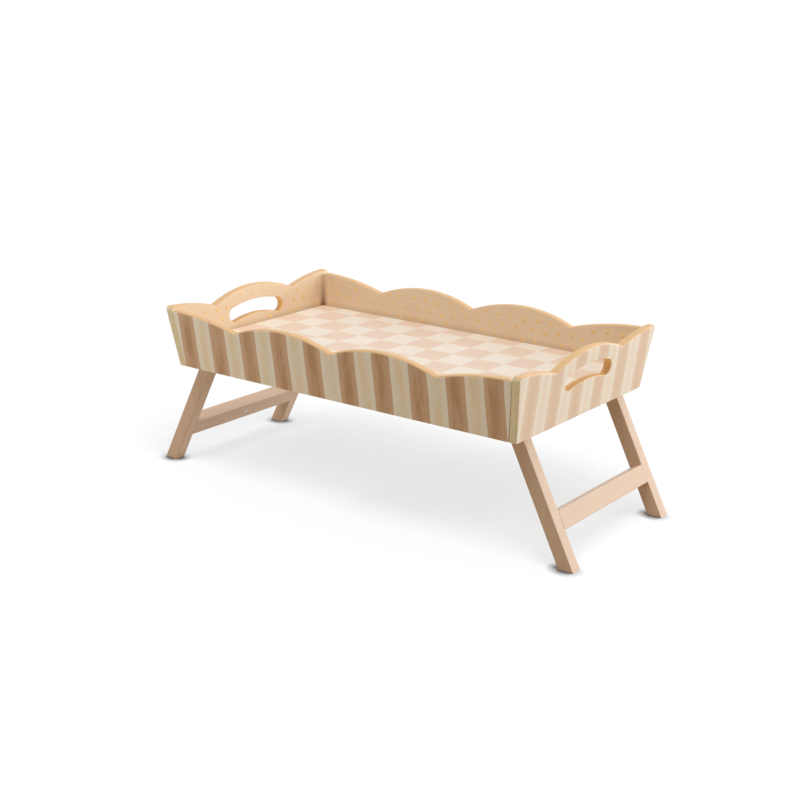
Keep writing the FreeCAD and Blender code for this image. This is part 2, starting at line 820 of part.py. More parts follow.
def block_screws():
    head_end = f"({BLOCK_HEAD} + sizes.screw_head_height)"
    tip = f"({BLOCK_HEAD} + sizes.block_screw_length)"
    places = []
    for end in (-1, 1):
        for name, place in block_screw_places():
            places.append((signed(end, place), level("sizes.block_screw_height")))
    runs = [
        ("head", BLOCK_HEAD, head_end, "sizes.screw_head_diameter / 2", None),
        ("shank", BLOCK_HEAD, tip, SCREW_RADIUS, None),
    ]
    return round_group("pivot_block_screws", "XZ_Plane", runs, places, "XZ_Plane")


def cleat_screws():
    head_end = f"({CLEAT_HEAD} + sizes.screw_head_height)"
    tip = f"({CLEAT_HEAD} + sizes.cleat_screw_length)"
    places = [cleat_screw_line(number) for number in CLEAT_SCREWS]
    runs = [
        ("head", CLEAT_HEAD, head_end, "sizes.screw_head_diameter / 2", None),
        ("shank", CLEAT_HEAD, tip, SCREW_RADIUS, None),
    ]
    return round_group("stop_cleat_screws", "YZ_Plane", runs, places, "YZ_Plane")


def catch_plates():
    """Steel discs let into the floor's underside, for the magnets."""
    body = new_body("catch_plates", several=True)
    middle = level(f"({FLOOR_UNDERSIDE} + sizes.plate_thickness / 2)")
    sketch = new_sketch(body, "disc", "XY_Plane", middle)
    for end in (-1, 1):
        centre = (signed(end, CATCH_X), NOUGHT)
        draw_circle(sketch, centre, "sizes.plate_diameter / 2")
    pad(body, sketch, "sizes.plate_thickness")
    return body


# ---- Pivots ----


def pivot_places():
    return [(signed(end, PIVOT_X), PIVOT_LEVEL) for end in (-1, 1)]


def pivot_bolts():
    """Bolts whose heads hold the legs from inside the frame."""
    under_head = f"({LEG_INSIDE} - sizes.head_washer_thickness)"
    head_end = f"({under_head} - sizes.bolt_head_height)"
    tip = f"({BLOCK_FACE} + sizes.bolt_grip)"
    body = new_body("pivot_bolts", several=True)
    features = []
    for name, near, far, radius in (
        ("head", head_end, under_head, "sizes.bolt_head_diameter / 2"),
        ("shank", head_end, tip, BOLT_RADIUS),
    ):
        sketch = new_sketch(body, name, "XZ_Plane", f"(({near} + {far}) / 2)")
        for place in pivot_places():
            draw_circle(sketch, place, radius)
        features.append(pad(body, sketch, f"{far} - {near}"))
    socket = new_sketch(body, "socket", "XZ_Plane", head_end)
    reach = "(sizes.bolt_socket / sqrt(3))"
    for x, z in pivot_places():
        corners = []
        for turn in range(6):
            corners.append((
                f"({x} + {reach} * cos({60 * turn}))",
                f"({z} + {reach} * sin({60 * turn}))",
            ))
        draw_polygon(socket, corners)
    features.append(pocket(body, socket, "2 * sizes.socket_depth"))
    mirror(body, features, "XZ_Plane")
    return body


def pivot_washers():
    bore = f"{BOLT_RADIUS} + sizes.washer_clearance"
    radius = "sizes.washer_diameter / 2"
    spacer = [("ring", LEG_OUTSIDE, BLOCK_FACE, radius, bore)]
    round_group("pivot_spacer_washers", "XZ_Plane", spacer, pivot_places(), "XZ_Plane")
    under_head = f"({LEG_INSIDE} - sizes.head_washer_thickness)"
    head = [("ring", under_head, LEG_INSIDE, radius, bore)]
    round_group("pivot_head_washers", "XZ_Plane", head, pivot_places(), "XZ_Plane")


def pivot_inserts():
    far = f"({BLOCK_FACE} + sizes.insert_length)"
    bore = f"{BOLT_RADIUS} + sizes.glue_line"
    ring = [("ring", BLOCK_FACE, far, "sizes.insert_diameter / 2", bore)]
    round_group("pivot_inserts", "XZ_Plane", ring, pivot_places(), "XZ_Plane")


# ---- Leg frames, each in its own frame: origin on the pivot axis, legs along -Z ----


def stand_open(body, end):
    """Put a piece of a leg frame at its pivot, at the open angle."""
    axis = FreeCAD.Vector(0, -end, 0)
    body.Placement = FreeCAD.Placement(FreeCAD.Vector(), FreeCAD.Rotation(axis, 1))
    body.setExpression("Placement.Base.x", signed(end, PIVOT_X))
    body.setExpression("Placement.Base.z", PIVOT_LEVEL)
    body.setExpression("Placement.Rotation.Angle", "sizes.leg_splay")
    document.recompute()


def foot_reach(across):
    """How far below the pivot the sloping foot is, at a place across the leg."""
    return f"(-({PIVOT_LEVEL} + ({across}) * sin(sizes.leg_splay)) / cos(sizes.leg_splay))"


def leg(label, end, side):
    body = new_body(label)
    half = "(sizes.leg_width / 2)"
    middle = f"({LEG_OUTSIDE} - sizes.leg_depth / 2)"
    sketch = new_sketch(body, "profile", "XZ_Plane", signed(side, middle))
    left = f"(-{half})"
    corners = [
        (left, foot_reach(left if end > 0 else half)),
        (left, NOUGHT),
        (half, NOUGHT),
        (half, foot_reach(half if end > 0 else left)),
    ]
    draw_outline(sketch, corners, {1: (NOUGHT, NOUGHT)})
    pad(body, sketch, "sizes.leg_depth")
    inside = value(LEG_INSIDE)
    outside = value(LEG_OUTSIDE)

    def along_leg(edge):
        box = edge.BoundBox
        on_face = min(abs(abs(box.YMin) - inside), abs(abs(box.YMin) - outside)) < 0.01
        return on_face and box.YLength < 0.01 and box.ZLength > half_turn

    half_turn = value(half) * 0.99
    round_edges(body, "long_edges", along_leg, "sizes.leg_easing")
    drill_leg(body, side)
    stand_open(body, end)
    return body


def drill_leg(body, side):
    near = LEG_INSIDE
    drill(body, "pivot_bore", "Y",
          (NOUGHT, run(side, near, LEG_OUTSIDE), NOUGHT),
          f"{BOLT_RADIUS} + sizes.bolt_clearance",
          "sizes.leg_depth")
    far = f"({LEG_INSIDE} + sizes.frame_dowel_in_leg + sizes.dowel_room)"
    for name, place in frame_dowel_places():
        drill(body, f"{name}_dowel_hole", "Y",
              (NOUGHT, run(side, near, far), place),
              DOWEL_HOLE_RADIUS,
              f"{far} - {near}")


def frame_dowel_places():
    return [
        ("upper", "(-sizes.stretcher_drop + sizes.frame_dowel_spacing / 2)"),
        ("lower", "(-sizes.stretcher_drop - sizes.frame_dowel_spacing / 2)"),
    ]


def stretcher(label, end):
    """Rail between the legs, flush with both of their faces."""
    body = new_body(label)
    half = "(sizes.leg_width / 2)"
    low = "(-sizes.stretcher_drop - sizes.stretcher_width / 2)"
    high = "(-sizes.stretcher_drop + sizes.stretcher_width / 2)"
    sketch = new_sketch(body, "section", "XZ_Plane")
    draw_polygon(sketch, [
        (f"(-{half})", low), (half, low), (half, high), (f"(-{half})", high),
    ])
    pad(body, sketch, f"2 * {LEG_INSIDE}")
    length = value(LEG_INSIDE)

    def along_rail(edge):
        return edge.BoundBox.YLength > length

    round_edges(body, "long_edges", along_rail, "sizes.leg_easing")
    near = f"({LEG_INSIDE} - sizes.frame_dowel_in_stretcher - sizes.dowel_room)"
    for side_name, side in SIDES:
        for name, place in frame_dowel_places():
            drill(
                body, f"{side_name}_{name}_dowel_hole", "Y",
                (NOUGHT, run(side, near, LEG_INSIDE), place),
                DOWEL_HOLE_RADIUS,
                f"{LEG_INSIDE} - {near}",
            )
    deep, face = magnet_run()
    drill(body, "magnet_hole", "X",
          (run(-end, deep, half), NOUGHT, "(-sizes.stretcher_drop)"),
          "sizes.magnet_diameter / 2 + sizes.glue_line",
          f"{half} - {deep}")
    stand_open(body, end)
    return body


def magnet_run():
    """Distances from the middle of the stretcher to the magnet's two faces."""
    face = "(sizes.leg_width / 2 + sizes.magnet_proud)"
    return f"({face} - sizes.magnet_thickness)", face


def catch_magnet(label, end):
    """Disc in the face of the stretcher that lies against the floor when folded."""
    body = new_body(label)
    deep, face = magnet_run()
    sketch = new_sketch(body, "disc", "YZ_Plane",
                        signed(-end, f"(({deep} + {face}) / 2)"))
    draw_circle(sketch, (NOUGHT, "(-sizes.stretcher_drop)"),
                "sizes.magnet_diameter / 2")
    pad(body, sketch, "sizes.magnet_thickness")
    stand_open(body, end)
    return body


def stretcher_dowels(label, end):
    near = f"({LEG_INSIDE} - sizes.frame_dowel_in_stretcher)"
    far = f"({LEG_INSIDE} + sizes.frame_dowel_in_leg)"
    runs = [("pin", near, far, DOWEL_RADIUS, None)]
    places = [(NOUGHT, place) for name, place in frame_dowel_places()]
    body = round_group(label, "XZ_Plane", runs, places, "XZ_Plane")
    stand_open(body, end)
    return body


def leg_frame(name, end):
    leg(f"{name}_front_leg", end, -1)
    leg(f"{name}_back_leg", end, 1)
    stretcher(f"{name}_stretcher", end)
    stretcher_dowels(f"{name}_stretcher_dowels", end)
    catch_magnet(f"{name}_catch_magnet", end)


def check_document():
    """Stop before anything is written if a feature or a sub-part has failed."""
    document.recompute()
    for item in document.Objects:
        if "Invalid" in item.State or "Error" in item.State:
            raise ValueError(f"{item.Name} has failed")
    for body in sub_parts:
        if body.Shape.isNull() or not body.Shape.isValid():
            raise ValueError(f"{body.Label} has no valid shape")


def write_steps():
    os.makedirs("parts", exist_ok=True)
    for body in sub_parts:
        body.Shape.exportStep(f"parts/{body.Label}.step")


def build():
    fill_sheet()
    for name, side in SIDES:
        long_board(f"{name}_board", side)
    for name, end in ENDS:
        end_board(f"{name}_end_board", end)
    tray_floor()
    corner_dowels()
    for name, end in ENDS:
        stop_cleat(f"{name}_stop_cleat", end)
        for side_name, side in SIDES:
            pivot_block(f"{name}_{side_name}_pivot_block", end, side)
    cleat_screws()
    block_screws()
    pivot_bolts()
    pivot_washers()
    pivot_inserts()
    catch_plates()
    for name, end in ENDS:
        leg_frame(name, end)
    check_document()
    write_steps()


build()
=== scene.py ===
"""Looks of a painted wooden bed tray table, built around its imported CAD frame."""

import math

import bmesh
import bpy
from mathutils import Matrix, Vector


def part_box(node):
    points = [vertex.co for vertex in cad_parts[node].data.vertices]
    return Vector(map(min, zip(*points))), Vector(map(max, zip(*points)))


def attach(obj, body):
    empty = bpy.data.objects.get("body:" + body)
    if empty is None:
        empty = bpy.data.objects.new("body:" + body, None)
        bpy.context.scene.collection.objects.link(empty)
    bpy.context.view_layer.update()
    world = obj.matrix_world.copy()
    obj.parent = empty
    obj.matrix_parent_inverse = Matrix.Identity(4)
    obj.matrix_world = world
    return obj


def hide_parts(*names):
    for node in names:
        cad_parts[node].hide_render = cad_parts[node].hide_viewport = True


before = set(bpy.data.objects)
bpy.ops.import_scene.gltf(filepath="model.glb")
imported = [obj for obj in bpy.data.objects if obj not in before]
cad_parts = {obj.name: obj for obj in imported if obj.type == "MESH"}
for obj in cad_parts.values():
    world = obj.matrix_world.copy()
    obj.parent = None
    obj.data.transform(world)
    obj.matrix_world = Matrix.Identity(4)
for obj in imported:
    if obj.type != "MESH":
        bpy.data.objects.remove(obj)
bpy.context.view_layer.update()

bl_info = {
    "name": "Painted Bed Tray Table",
    "version": (1, 0, 0),
    "blender": (4, 5, 0),
    "location": "3D View > Sidebar > Bed Tray",
    "description": "Paint, wood, fasteners and studio for a folding bed tray table",
    "category": "Object",
}

MM = 0.001
BOARD = 12 * MM
LONG_BOARDS = ("front_board", "back_board")
END_BOARDS = ("left_end_board", "right_end_board")
PHOTO_PIXELS = 800
GRAIN_ALONG_X = (0, math.radians(90), 0)
GRAIN_ALONG_Y = (math.radians(90), 0, 0)

# The handle slot of an end board: how far it reaches from the middle, and its highest point.
SLOT_REACH = 62 * MM
SLOT_TOP = 241 * MM

ACRYLIC_IOR = 1.48
CLEAR_COAT_IOR = 1.5
SATIN_SPECULAR = 0.35
# Painted shade: how dark the inner corners and a band along the floor are painted.
PAINTED_SHADE_IN_CORNERS = 0.78
PAINTED_SHADE_ON_FLOOR = 0.26
DAB_SIZES = (0.86, 1.12)
RING_STEPS = 8

# Shadows on the floor: direction and reach of an ambient occlusion node, then how open a
# point is where the shadow is full and where it ends. All were fitted to the photograph.
BROAD_SHADOW = ((0.73, -0.59, 0.34), 340 * MM, (0.763, 0.875))
FOOT_SHADOW = ((0.0, 0.45, 0.89), 17 * MM, (0.48, 1.0))
FOOT_SHADE = 0.05
SOFT_BOXES = (
    ("right_soft_box", (2.7, 1.5, 0.70), "box_right"),
    ("back_soft_box", (0.5, 2.0, 0.30), "box_back"),
    ("left_soft_box", (-0.95, -0.9, 0.26), "box_left"),
)


# ---- Colours, planes and nodes ----


def linear(code):
    """An sRGB hex colour as the linear colour that Blender's sockets hold."""
    channels = []
    for start in (0, 2, 4):
        shade = int(code[start:start + 2], 16) / 255
        channels.append(shade / 12.92 if shade <= 0.04045 else ((shade + 0.055) / 1.055) ** 2.4)
    return (*channels, 1.0)


def add_node(tree, kind, inputs=(), **settings):
    """Add a node. Each input is a number, a colour or the socket that feeds it."""
    node = tree.nodes.new(kind)
    for name, setting in settings.items():
        setattr(node, name, setting)
    for key, source in dict(inputs).items():
        if isinstance(source, bpy.types.NodeSocket):
            tree.links.new(source, node.inputs[key])
        else:
            node.inputs[key].default_value = source
    return node


def maths(tree, operation, *numbers):
    """Result of a maths node on numbers or sockets."""
    return add_node(tree, "ShaderNodeMath", enumerate(numbers), operation=operation).outputs[0]


def vectors(tree, operation, *sources, scale=1.0):
    """Result of a vector maths node on vectors or sockets. Only SCALE reads the scale."""
    inputs = dict(enumerate(sources))
    inputs[3] = scale
    node = add_node(tree, "ShaderNodeVectorMath", inputs, operation=operation)
    return node.outputs["Value" if operation == "DOT_PRODUCT" else "Vector"]


def ranged(tree, value, source=(0.0, 1.0), target=(0.0, 1.0), smooth=False):
    """The value taken from the source range to the target range, and held inside it."""
    return add_node(tree, "ShaderNodeMapRange", {
        "Value": value, "From Min": source[0], "From Max": source[1],
        "To Min": target[0], "To Max": target[1],
    }, interpolation_type="SMOOTHSTEP" if smooth else "LINEAR").outputs["Result"]


def object_place(tree):
    return add_node(tree, "ShaderNodeTexCoord").outputs["Object"]


def split(tree, vector):
    """The X, Y and Z of a vector."""
    return add_node(tree, "ShaderNodeSeparateXYZ", {0: vector}).outputs


def face_plane(node, towards):
    """Normal and distance from the origin of a node's widest face that looks that way."""
    facing = [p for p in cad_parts[node].data.polygons if p.normal.dot(Vector(towards)) > 0.9]
    widest = max(facing, key=lambda polygon: polygon.area)
    return widest.normal.copy(), widest.normal.dot(widest.center)


# ---- Sizes and colours that a user would change ----


def length_setting(name, description, millimetres):
    return bpy.props.FloatProperty(
        name=name, description=description, default=millimetres * MM, precision=5,
        subtype="DISTANCE", unit="LENGTH",
    )


def colour_setting(name, description, code):
    return bpy.props.FloatVectorProperty(
        name=name, description=description, default=linear(code), size=4,
        subtype="COLOR", min=0.0, max=1.0,
    )


def angle_setting(name, description, degrees):
    return bpy.props.FloatProperty(
        name=name, description=description, default=math.radians(degrees), subtype="ANGLE")


def number_setting(name, description, number):
    return bpy.props.FloatProperty(name=name, description=description, default=number)


class TrayPaint(bpy.types.PropertyGroup):
    long_stripe: length_setting("Long Stripe", "Width of one stripe of the long boards", 29.56)
    end_stripe: length_setting("End Stripe", "Width of one stripe of the end boards", 29.2)
    end_shift: length_setting("End Shift", "End boards' middle stripe, to the back", 3.1)
    soft_edge: length_setting("Soft Edge", "Half width of the brushed edge of a stripe", 0.9)
    check_length: length_setting("Check Length", "One check of the floor, along the tray", 43.5)
    check_width: length_setting("Check Width", "One check of the floor, across the tray", 46.0)
    check_start: length_setting("Check Start", "A check boundary along the tray", 14.1)
    check_side: length_setting("Check Side", "A check boundary across the tray", -9.0)
    dab_diameter: length_setting("Dab", "Diameter of a dab of gold paint", 5.8)
    dab_relief: length_setting("Dab Relief", "Height of a dab of gold paint", 0.22)
    dab_spacing: length_setting("Dab Spacing", "Between the middles of two dabs of a row", 23.0)
    dab_rows: length_setting("Dab Rows", "Between two rows of dabs", 16.0)
    dab_stray: length_setting("Dab Stray", "How far a dab strays from its place", 2.8)
    dab_margin: length_setting("Dab Margin", "A dab to the nearest edge or corner", 1.2)
    long_light: colour_setting("Long Light", "Light stripe of the long boards", "F6EDDD")
    long_light_core: colour_setting("Long Light Core", "Its warmer middle", "F0DFC0")
    long_dark: colour_setting("Long Dark", "Brown stripe of the long boards", "D3B08F")
    long_dark_core: colour_setting("Long Dark Core", "Its warmer middle", "BD936B")
    end_light: colour_setting("End Light", "Cream stripe of the end boards", "F9F0E3")
    end_light_core: colour_setting("End Light Core", "Its warmer middle", "F6E7D4")
    end_dark: colour_setting("End Dark", "Rose tan stripe of the end boards", "EED6BE")
    end_dark_core: colour_setting("End Dark Core", "Its pinker middle", "E8CCB6")
    corner: colour_setting("Corner", "Upright narrow edges of the end boards", "E8DAB4")
    inside: colour_setting("Inside", "Peach paint inside the tray", "F1D6B4")
    # Painted shade in the inner corners and along the floor: its colour, and how far and how high it
    # reaches.
    painted_shade: colour_setting("Painted Shade", "Brown glaze that gathers in the inner corners", "8C5F35")
    painted_shade_reach: length_setting("Glaze Reach", "How far the glaze reaches from a corner", 11.0)
    painted_shade_height: length_setting("Glaze Height", "Where it starts to run down, over the floor", 55.0)
    gold: colour_setting("Gold", "Gold line along the top edges", "E9BF8B")
    # Painted light: a brighter gold where the handle slots lie in shade.
    slot_gold_painted_light: colour_setting("Slot Gold", "Handle slots, brighter to match the photo", "F9CA86")
    dab: colour_setting("Dab", "Gold dabs inside the tray", "FACE85")
    check_light: colour_setting("Check Light", "Cream checks of the floor", "F8ECDD")
    check_dark: colour_setting("Check Dark", "Rose tan checks of the floor", "F1D7BE")
    check_blush: colour_setting("Check Blush", "Pinker brush marks in the tan checks", "EFD4C6")


class TrayWood(bpy.types.PropertyGroup):
    streak: length_setting("Streak", "Width of the broader streaks of the grain", 7.0)
    fibre: length_setting("Fibre", "Width of the fine streaks, wider than life so that they show", 0.9)
    fleck: length_setting("Fleck", "Length of the dark flecks of the legs' wood", 3.5)
    leg: colour_setting("Leg", "Clear-coated beech of the leg frames", "E5CDB8")
    leg_dark: colour_setting("Leg Dark", "Darker grain of the leg frames", "D8B79A")
    # Painted shade: the legs' front and back sides are multiplied by this colour.
    leg_side_shade: colour_setting("Leg Side", "Front and back of a leg: this times the wood", "ECE4D9")
    soft: colour_setting("Softwood", "Bare cleats and blocks under the tray", "E6CBA0")
    soft_dark: colour_setting("Softwood Dark", "Late wood of the cleats and blocks", "C99F68")
    ply: colour_setting("Plywood", "Bare underside of the floor panel", "E4CBA5")
    ply_dark: colour_setting("Plywood Dark", "Darker grain of the floor panel", "D0B084")


class TrayMetal(bpy.types.PropertyGroup):
    head_round: length_setting("Head Round", "Rounding of a screw head", 0.5)
    screw_head: length_setting("Screw Head", "Height of a screw head", 2.2)
    bolt_head: length_setting("Bolt Head", "Height of a pivot bolt head", 3.3)
    bolt_round: length_setting("Bolt Round", "Rounding of a pivot bolt head", 1.2)
    bolt_shank: length_setting("Bolt Shank", "Diameter of a pivot bolt", 6.0)
    cross_width: length_setting("Cross Width", "Arm of the cross recess in a screw", 0.9)
    cross_depth: length_setting("Cross Depth", "Cross recess in a screw", 1.3)
    hexagon: length_setting("Hexagon", "Socket of a pivot bolt, across its flats", 4.0)
    hexagon_depth: length_setting("Hexagon Depth", "Socket of a pivot bolt", 2.0)
    zinc: colour_setting("Zinc", "Zinc-plated steel", "C6C8C9")
    nickel: colour_setting("Nickel", "Nickel-plated magnet", "D6D1C8")
    insert: colour_setting("Insert", "Die-cast zinc insert", "A9A8A2")


class TrayStudio(bpy.types.PropertyGroup):
    azimuth: angle_setting("Azimuth", "Camera to the right of straight ahead", 36.5811)
    elevation: angle_setting("Elevation", "Camera above the level", 16.8327)
    roll: angle_setting("Roll", "Turn of the camera about its own view", 0.7238)
    distance: length_setting("Distance", "Camera to the middle of the tray", 2071.8)
    target_height: length_setting("Target Height", "Height of the point it looks at", 132.17)
    focal_pixels: number_setting("Focal Length", "In pixels of the photograph", 1419.71)
    target_across: number_setting("Target Across", "That point, pixels from the left", 405.06)
    target_down: number_setting("Target Down", "That point, pixels from the top", 398.60)
    overhead: number_setting("Overhead", "Light from the lamp above", 0.39)
    spread: angle_setting("Spread", "Apparent width of the lamp above", 24)
    forward: angle_setting("Forward", "Tilt of the lamp above towards the front", 16)
    dim: colour_setting("Dim", "Light from the front and the left of the studio", "453A2E")
    bright: number_setting("Bright", "Light from above, the right and behind", 0.80)
    box_right: number_setting("Right Box", "Soft box behind on the right, at 1 m", 2.5)
    box_back: number_setting("Back Box", "Low soft box behind, at 1 m", 1.2)
    box_left: number_setting("Left Box", "Soft box in front on the left, at 1 m", 0.26)
    bounce: colour_setting("Bounce", "What the floor throws back at the tray", "C4B297")
    paper: colour_setting("Paper", "The floor's own colour, which the lamps light", "656668")
    paper_glow: number_setting("Paper Glow", "White that the floor gives without a lamp", 0.885)
    paper_shade: number_setting("Paper Shade", "What the broad shadow leaves of it", 0.83)


SETTINGS = (
    ("tray_paint", TrayPaint),
    ("tray_wood", TrayWood),
    ("tray_metal", TrayMetal),
    ("tray_studio", TrayStudio),
)


# ---- Shader groups ----


def new_group(name, inputs, outputs):
    """A shader group with its sockets, given as (kind, name)."""
    tree = bpy.data.node_groups.new(name, "ShaderNodeTree")
    for direction, sockets in (("INPUT", inputs), ("OUTPUT", outputs)):
        for kind, socket in sockets:
            tree.interface.new_socket(socket, in_out=direction, socket_type=f"NodeSocket{kind}")
    entry = add_node(tree, "NodeGroupInput").outputs
    return tree, entry, add_node(tree, "NodeGroupOutput")


def on_plane_group():
    """1 on a flat face and 0 from where the wood curves away from it."""
    tree, entry, exit_node = new_group(
        "On_flat_face",
        (("Vector", "Place"), ("Vector", "Normal"), ("Float", "Distance")),
        (("Float", "Share"),),
    )
    along = vectors(tree, "DOT_PRODUCT", entry["Place"], entry["Normal"])
    gap = maths(tree, "ABSOLUTE", maths(tree, "SUBTRACT", along, entry["Distance"]))
    share = ranged(tree, gap, (0.12 * MM, 0.40 * MM), (1.0, 0.0))
    tree.links.new(share, exit_node.inputs["Share"])
    return tree


def stripe_group():
    """Even stripes: which of the two colours, and how near the middle of its stripe."""
    tree, entry, exit_node = new_group(
        "Even_stripes",
        (("Float", "Position"), ("Float", "Width"), ("Float", "Edge")),
        (("Float", "Light"), ("Float", "Middle")),
    )
    turns = maths(tree, "DIVIDE", entry["Position"], entry["Width"])
    wave = maths(tree, "SINE", maths(tree, "MULTIPLY", turns, math.pi))
    edge = maths(tree, "DIVIDE", entry["Edge"], entry["Width"])
    high = maths(tree, "MULTIPLY", edge, math.pi)
    low = maths(tree, "MULTIPLY", high, -1.0)
    light = ranged(tree, wave, (low, high), smooth=True)
    middle = ranged(tree, maths(tree, "ABSOLUTE", wave), (0.45, 0.98), smooth=True)
    tree.links.new(light, exit_node.inputs["Light"])
    tree.links.new(middle, exit_node.inputs["Middle"])
    return tree


def brush_group():
    """Marks of a flat brush: broad soft bands and fine bristle lines along the stroke."""
    tree, entry, exit_node = new_group(
        "Brush_marks",
        (("Vector", "Place"), ("Vector", "Band"), ("Vector", "Bristle")),
        (("Float", "Band"), ("Float", "Bristle")),
    )
    for name, detail in (("Band", 2.0), ("Bristle", 3.0)):
        stretched = vectors(tree, "DIVIDE", entry["Place"], entry[name])
        marks = add_node(tree, "ShaderNodeTexNoise", {
            "Vector": stretched, "Scale": 1.0, "Detail": detail, "Roughness": 0.55,
        })
        clear = ranged(tree, marks.outputs["Fac"], (0.3, 0.7))
        tree.links.new(clear, exit_node.inputs[name])
    return tree


def shared_group(name, make):
    """A shader group that the materials share, made on first use."""
    return bpy.data.node_groups.get(name) or make()


def empty_tree(owner):
    """The node tree of a material or world, with nothing in it."""
    owner.use_nodes = True
    owner.node_tree.nodes.clear()
    return owner.node_tree


def new_material(name):
    material = bpy.data.materials.new(name)
    tree = empty_tree(material)
    shader = add_node(tree, "ShaderNodeBsdfPrincipled")
    add_node(tree, "ShaderNodeOutputMaterial", {"Surface": shader.outputs["BSDF"]})
    return material, tree, shader


def mixed(tree, share, first, second):
    """Colour that goes from the first to the second as the share goes from 0 to 1."""
    node = add_node(tree, "ShaderNodeMix", {0: share}, data_type="RGBA")
    for socket, colour in ((node.inputs[6], first), (node.inputs[7], second)):
        if isinstance(colour, bpy.types.NodeSocket):
            tree.links.new(colour, socket)
        else:
            socket.default_value = colour
    return node.outputs[2]


def brushed_tone(tree, colour, marks, depth):
    """The colour, darker or lighter by up to the depth along the brush marks."""
    band = maths(tree, "ADD", marks.outputs["Band"], marks.outputs["Bristle"])
    tone = ranged(tree, band, (0.0, 2.0), (1.0 - depth, 1.0 + depth))
    toned = add_node(tree, "ShaderNodeHueSaturation", {
        "Color": colour, "Value": tone,
    })
    return toned.outputs["Color"]


def relief(tree, shader, height, depth):
    """Let a height pattern of that depth in metres catch the light."""
    bump = add_node(tree, "ShaderNodeBump", {"Height": height, "Distance": depth, "Strength": 1.0})
    tree.links.new(bump.outputs["Normal"], shader.inputs["Normal"])


# ---- Materials ----


def brush_marks(tree, place, band, bristle):
    """Brush marks whose bands and bristle lines have these sizes along X, Y and Z."""
    return add_node(tree, "ShaderNodeGroup", {
        "Place": place, "Band": band, "Bristle": bristle,
    }, node_tree=shared_group("Brush_marks", brush_group))


def even_stripes(tree, position, width, edge):
    return add_node(tree, "ShaderNodeGroup", {
        "Position": position, "Width": width, "Edge": edge,
    }, node_tree=shared_group("Even_stripes", stripe_group)).outputs


def satin(tree, shader, colour, roughness, ior):
    """Colour and soft sheen of a satin coat."""
    tree.links.new(colour, shader.inputs["Base Color"])
    shader.inputs["Roughness"].default_value = roughness
    shader.inputs["IOR"].default_value = ior
    shader.inputs["Specular IOR Level"].default_value = SATIN_SPECULAR


def striped_board(name, board, outwards, axis, sizes, colours):
    """Acrylic paint on a solid wood board, hand-striped outside and peach inside.

    Brushed in upright strokes and varnished satin: soft two-tone stripes with a warm
    middle, faint bristle lines, and a gold line wherever the board's edge is rounded.
    """
    paint = bpy.context.scene.tray_paint
    material, tree, shader = new_material(name)
    # The left and the front are folded onto the right and the back.
    place = object_place(tree)
    folded = vectors(tree, "ABSOLUTE", place)
    parts = split(tree, place)
    inwards = tuple(-number for number in outwards)
    shares = []
    for towards in (outwards, inwards):
        normal, distance = face_plane(board, towards)
        shares.append(add_node(tree, "ShaderNodeGroup", {
            "Place": folded, "Normal": normal, "Distance": distance,
        }, node_tree=shared_group("On_flat_face", on_plane_group)).outputs["Share"])

    marks = brush_marks(tree, place, (9 * MM, 9 * MM, 160 * MM),
                        (0.9 * MM, 0.9 * MM, 45 * MM))

    # A hand does not follow the pencil line exactly.
    wander = ranged(tree, marks.outputs["Band"], (0.0, 1.0), (-0.5 * MM, 0.5 * MM))
    position = maths(tree, "ADD", parts[axis], wander)
    shifted = maths(tree, "ADD", position, sizes["width"] / 2 - sizes["shift"])
    stripes = even_stripes(tree, shifted, sizes["width"], paint.soft_edge)
    core = maths(tree, "MULTIPLY", stripes["Middle"], marks.outputs["Band"])
    warm = ranged(tree, core, (0.0, 0.75))
    light = mixed(tree, warm, colours["light"], colours["light_core"])
    dark = mixed(tree, warm, colours["dark"], colours["dark_core"])
    outer = brushed_tone(tree, mixed(tree, stripes["Light"], dark, light), marks, 0.045)
    gold = brushed_tone(tree, paint.gold, marks, 0.03)

    # The gold starts above the floor, and the narrow upright ends of a board have none.
    high = maths(tree, "GREATER_THAN", parts["Z"], sizes["gold_from"])
    edge = mixed(tree, high, outer, gold)
    # Painted light in the handle slots: a brighter gold where their walls lie in shade.
    if "slot" in sizes:
        reach, top = sizes["slot"]
        beside = maths(tree, "LESS_THAN", split(tree, folded)["Y"], reach)
        inside = maths(tree, "LESS_THAN", parts["Z"], top)
        slot = maths(tree, "MULTIPLY", beside, inside)
        lit_slot = mixed(tree, slot, edge, brushed_tone(tree, paint.slot_gold_painted_light, marks, 0.03))
        edge = mixed(tree, high, edge, lit_slot)
    normal, distance = face_plane(*sizes["end_plane"])
    along = vectors(tree, "DOT_PRODUCT", folded, normal)
    if distance < 0:
        along = maths(tree, "MULTIPLY", along, -1.0)
    beyond = maths(tree, "SUBTRACT", along, abs(distance))
    upright = ranged(tree, beyond, (-2.4 * MM, -2.0 * MM))
    edge = mixed(tree, upright, edge, brushed_tone(tree, colours["end"], marks, 0.04))

    # Painted shade in the upright inner corners, darker towards the bottom, and a thinner band of
    # painted shade along the floor.
    corner = -sizes["corner_at"]
    bottom = sizes["gold_from"]
    near = ranged(tree, beyond, (corner - paint.painted_shade_reach, corner), smooth=True)
    darker_down = ranged(tree, parts["Z"], (bottom + paint.painted_shade_height, bottom),
                      (0.0, PAINTED_SHADE_IN_CORNERS))
    low = ranged(tree, parts["Z"], (bottom + paint.painted_shade_reach, bottom),
                 (0.0, PAINTED_SHADE_ON_FLOOR), smooth=True)
    painted_shaded = maths(tree, "MULTIPLY_ADD", near, darker_down, low)
    inner = brushed_tone(tree, mixed(tree, painted_shaded, paint.inside, paint.painted_shade), marks, 0.015)
    colour = mixed(tree, shares[1], mixed(tree, shares[0], edge, outer), inner)
    satin(tree, shader, colour, 0.46, ACRYLIC_IOR)
    relief(tree, shader, marks.outputs["Bristle"], 0.02 * MM)
    return material


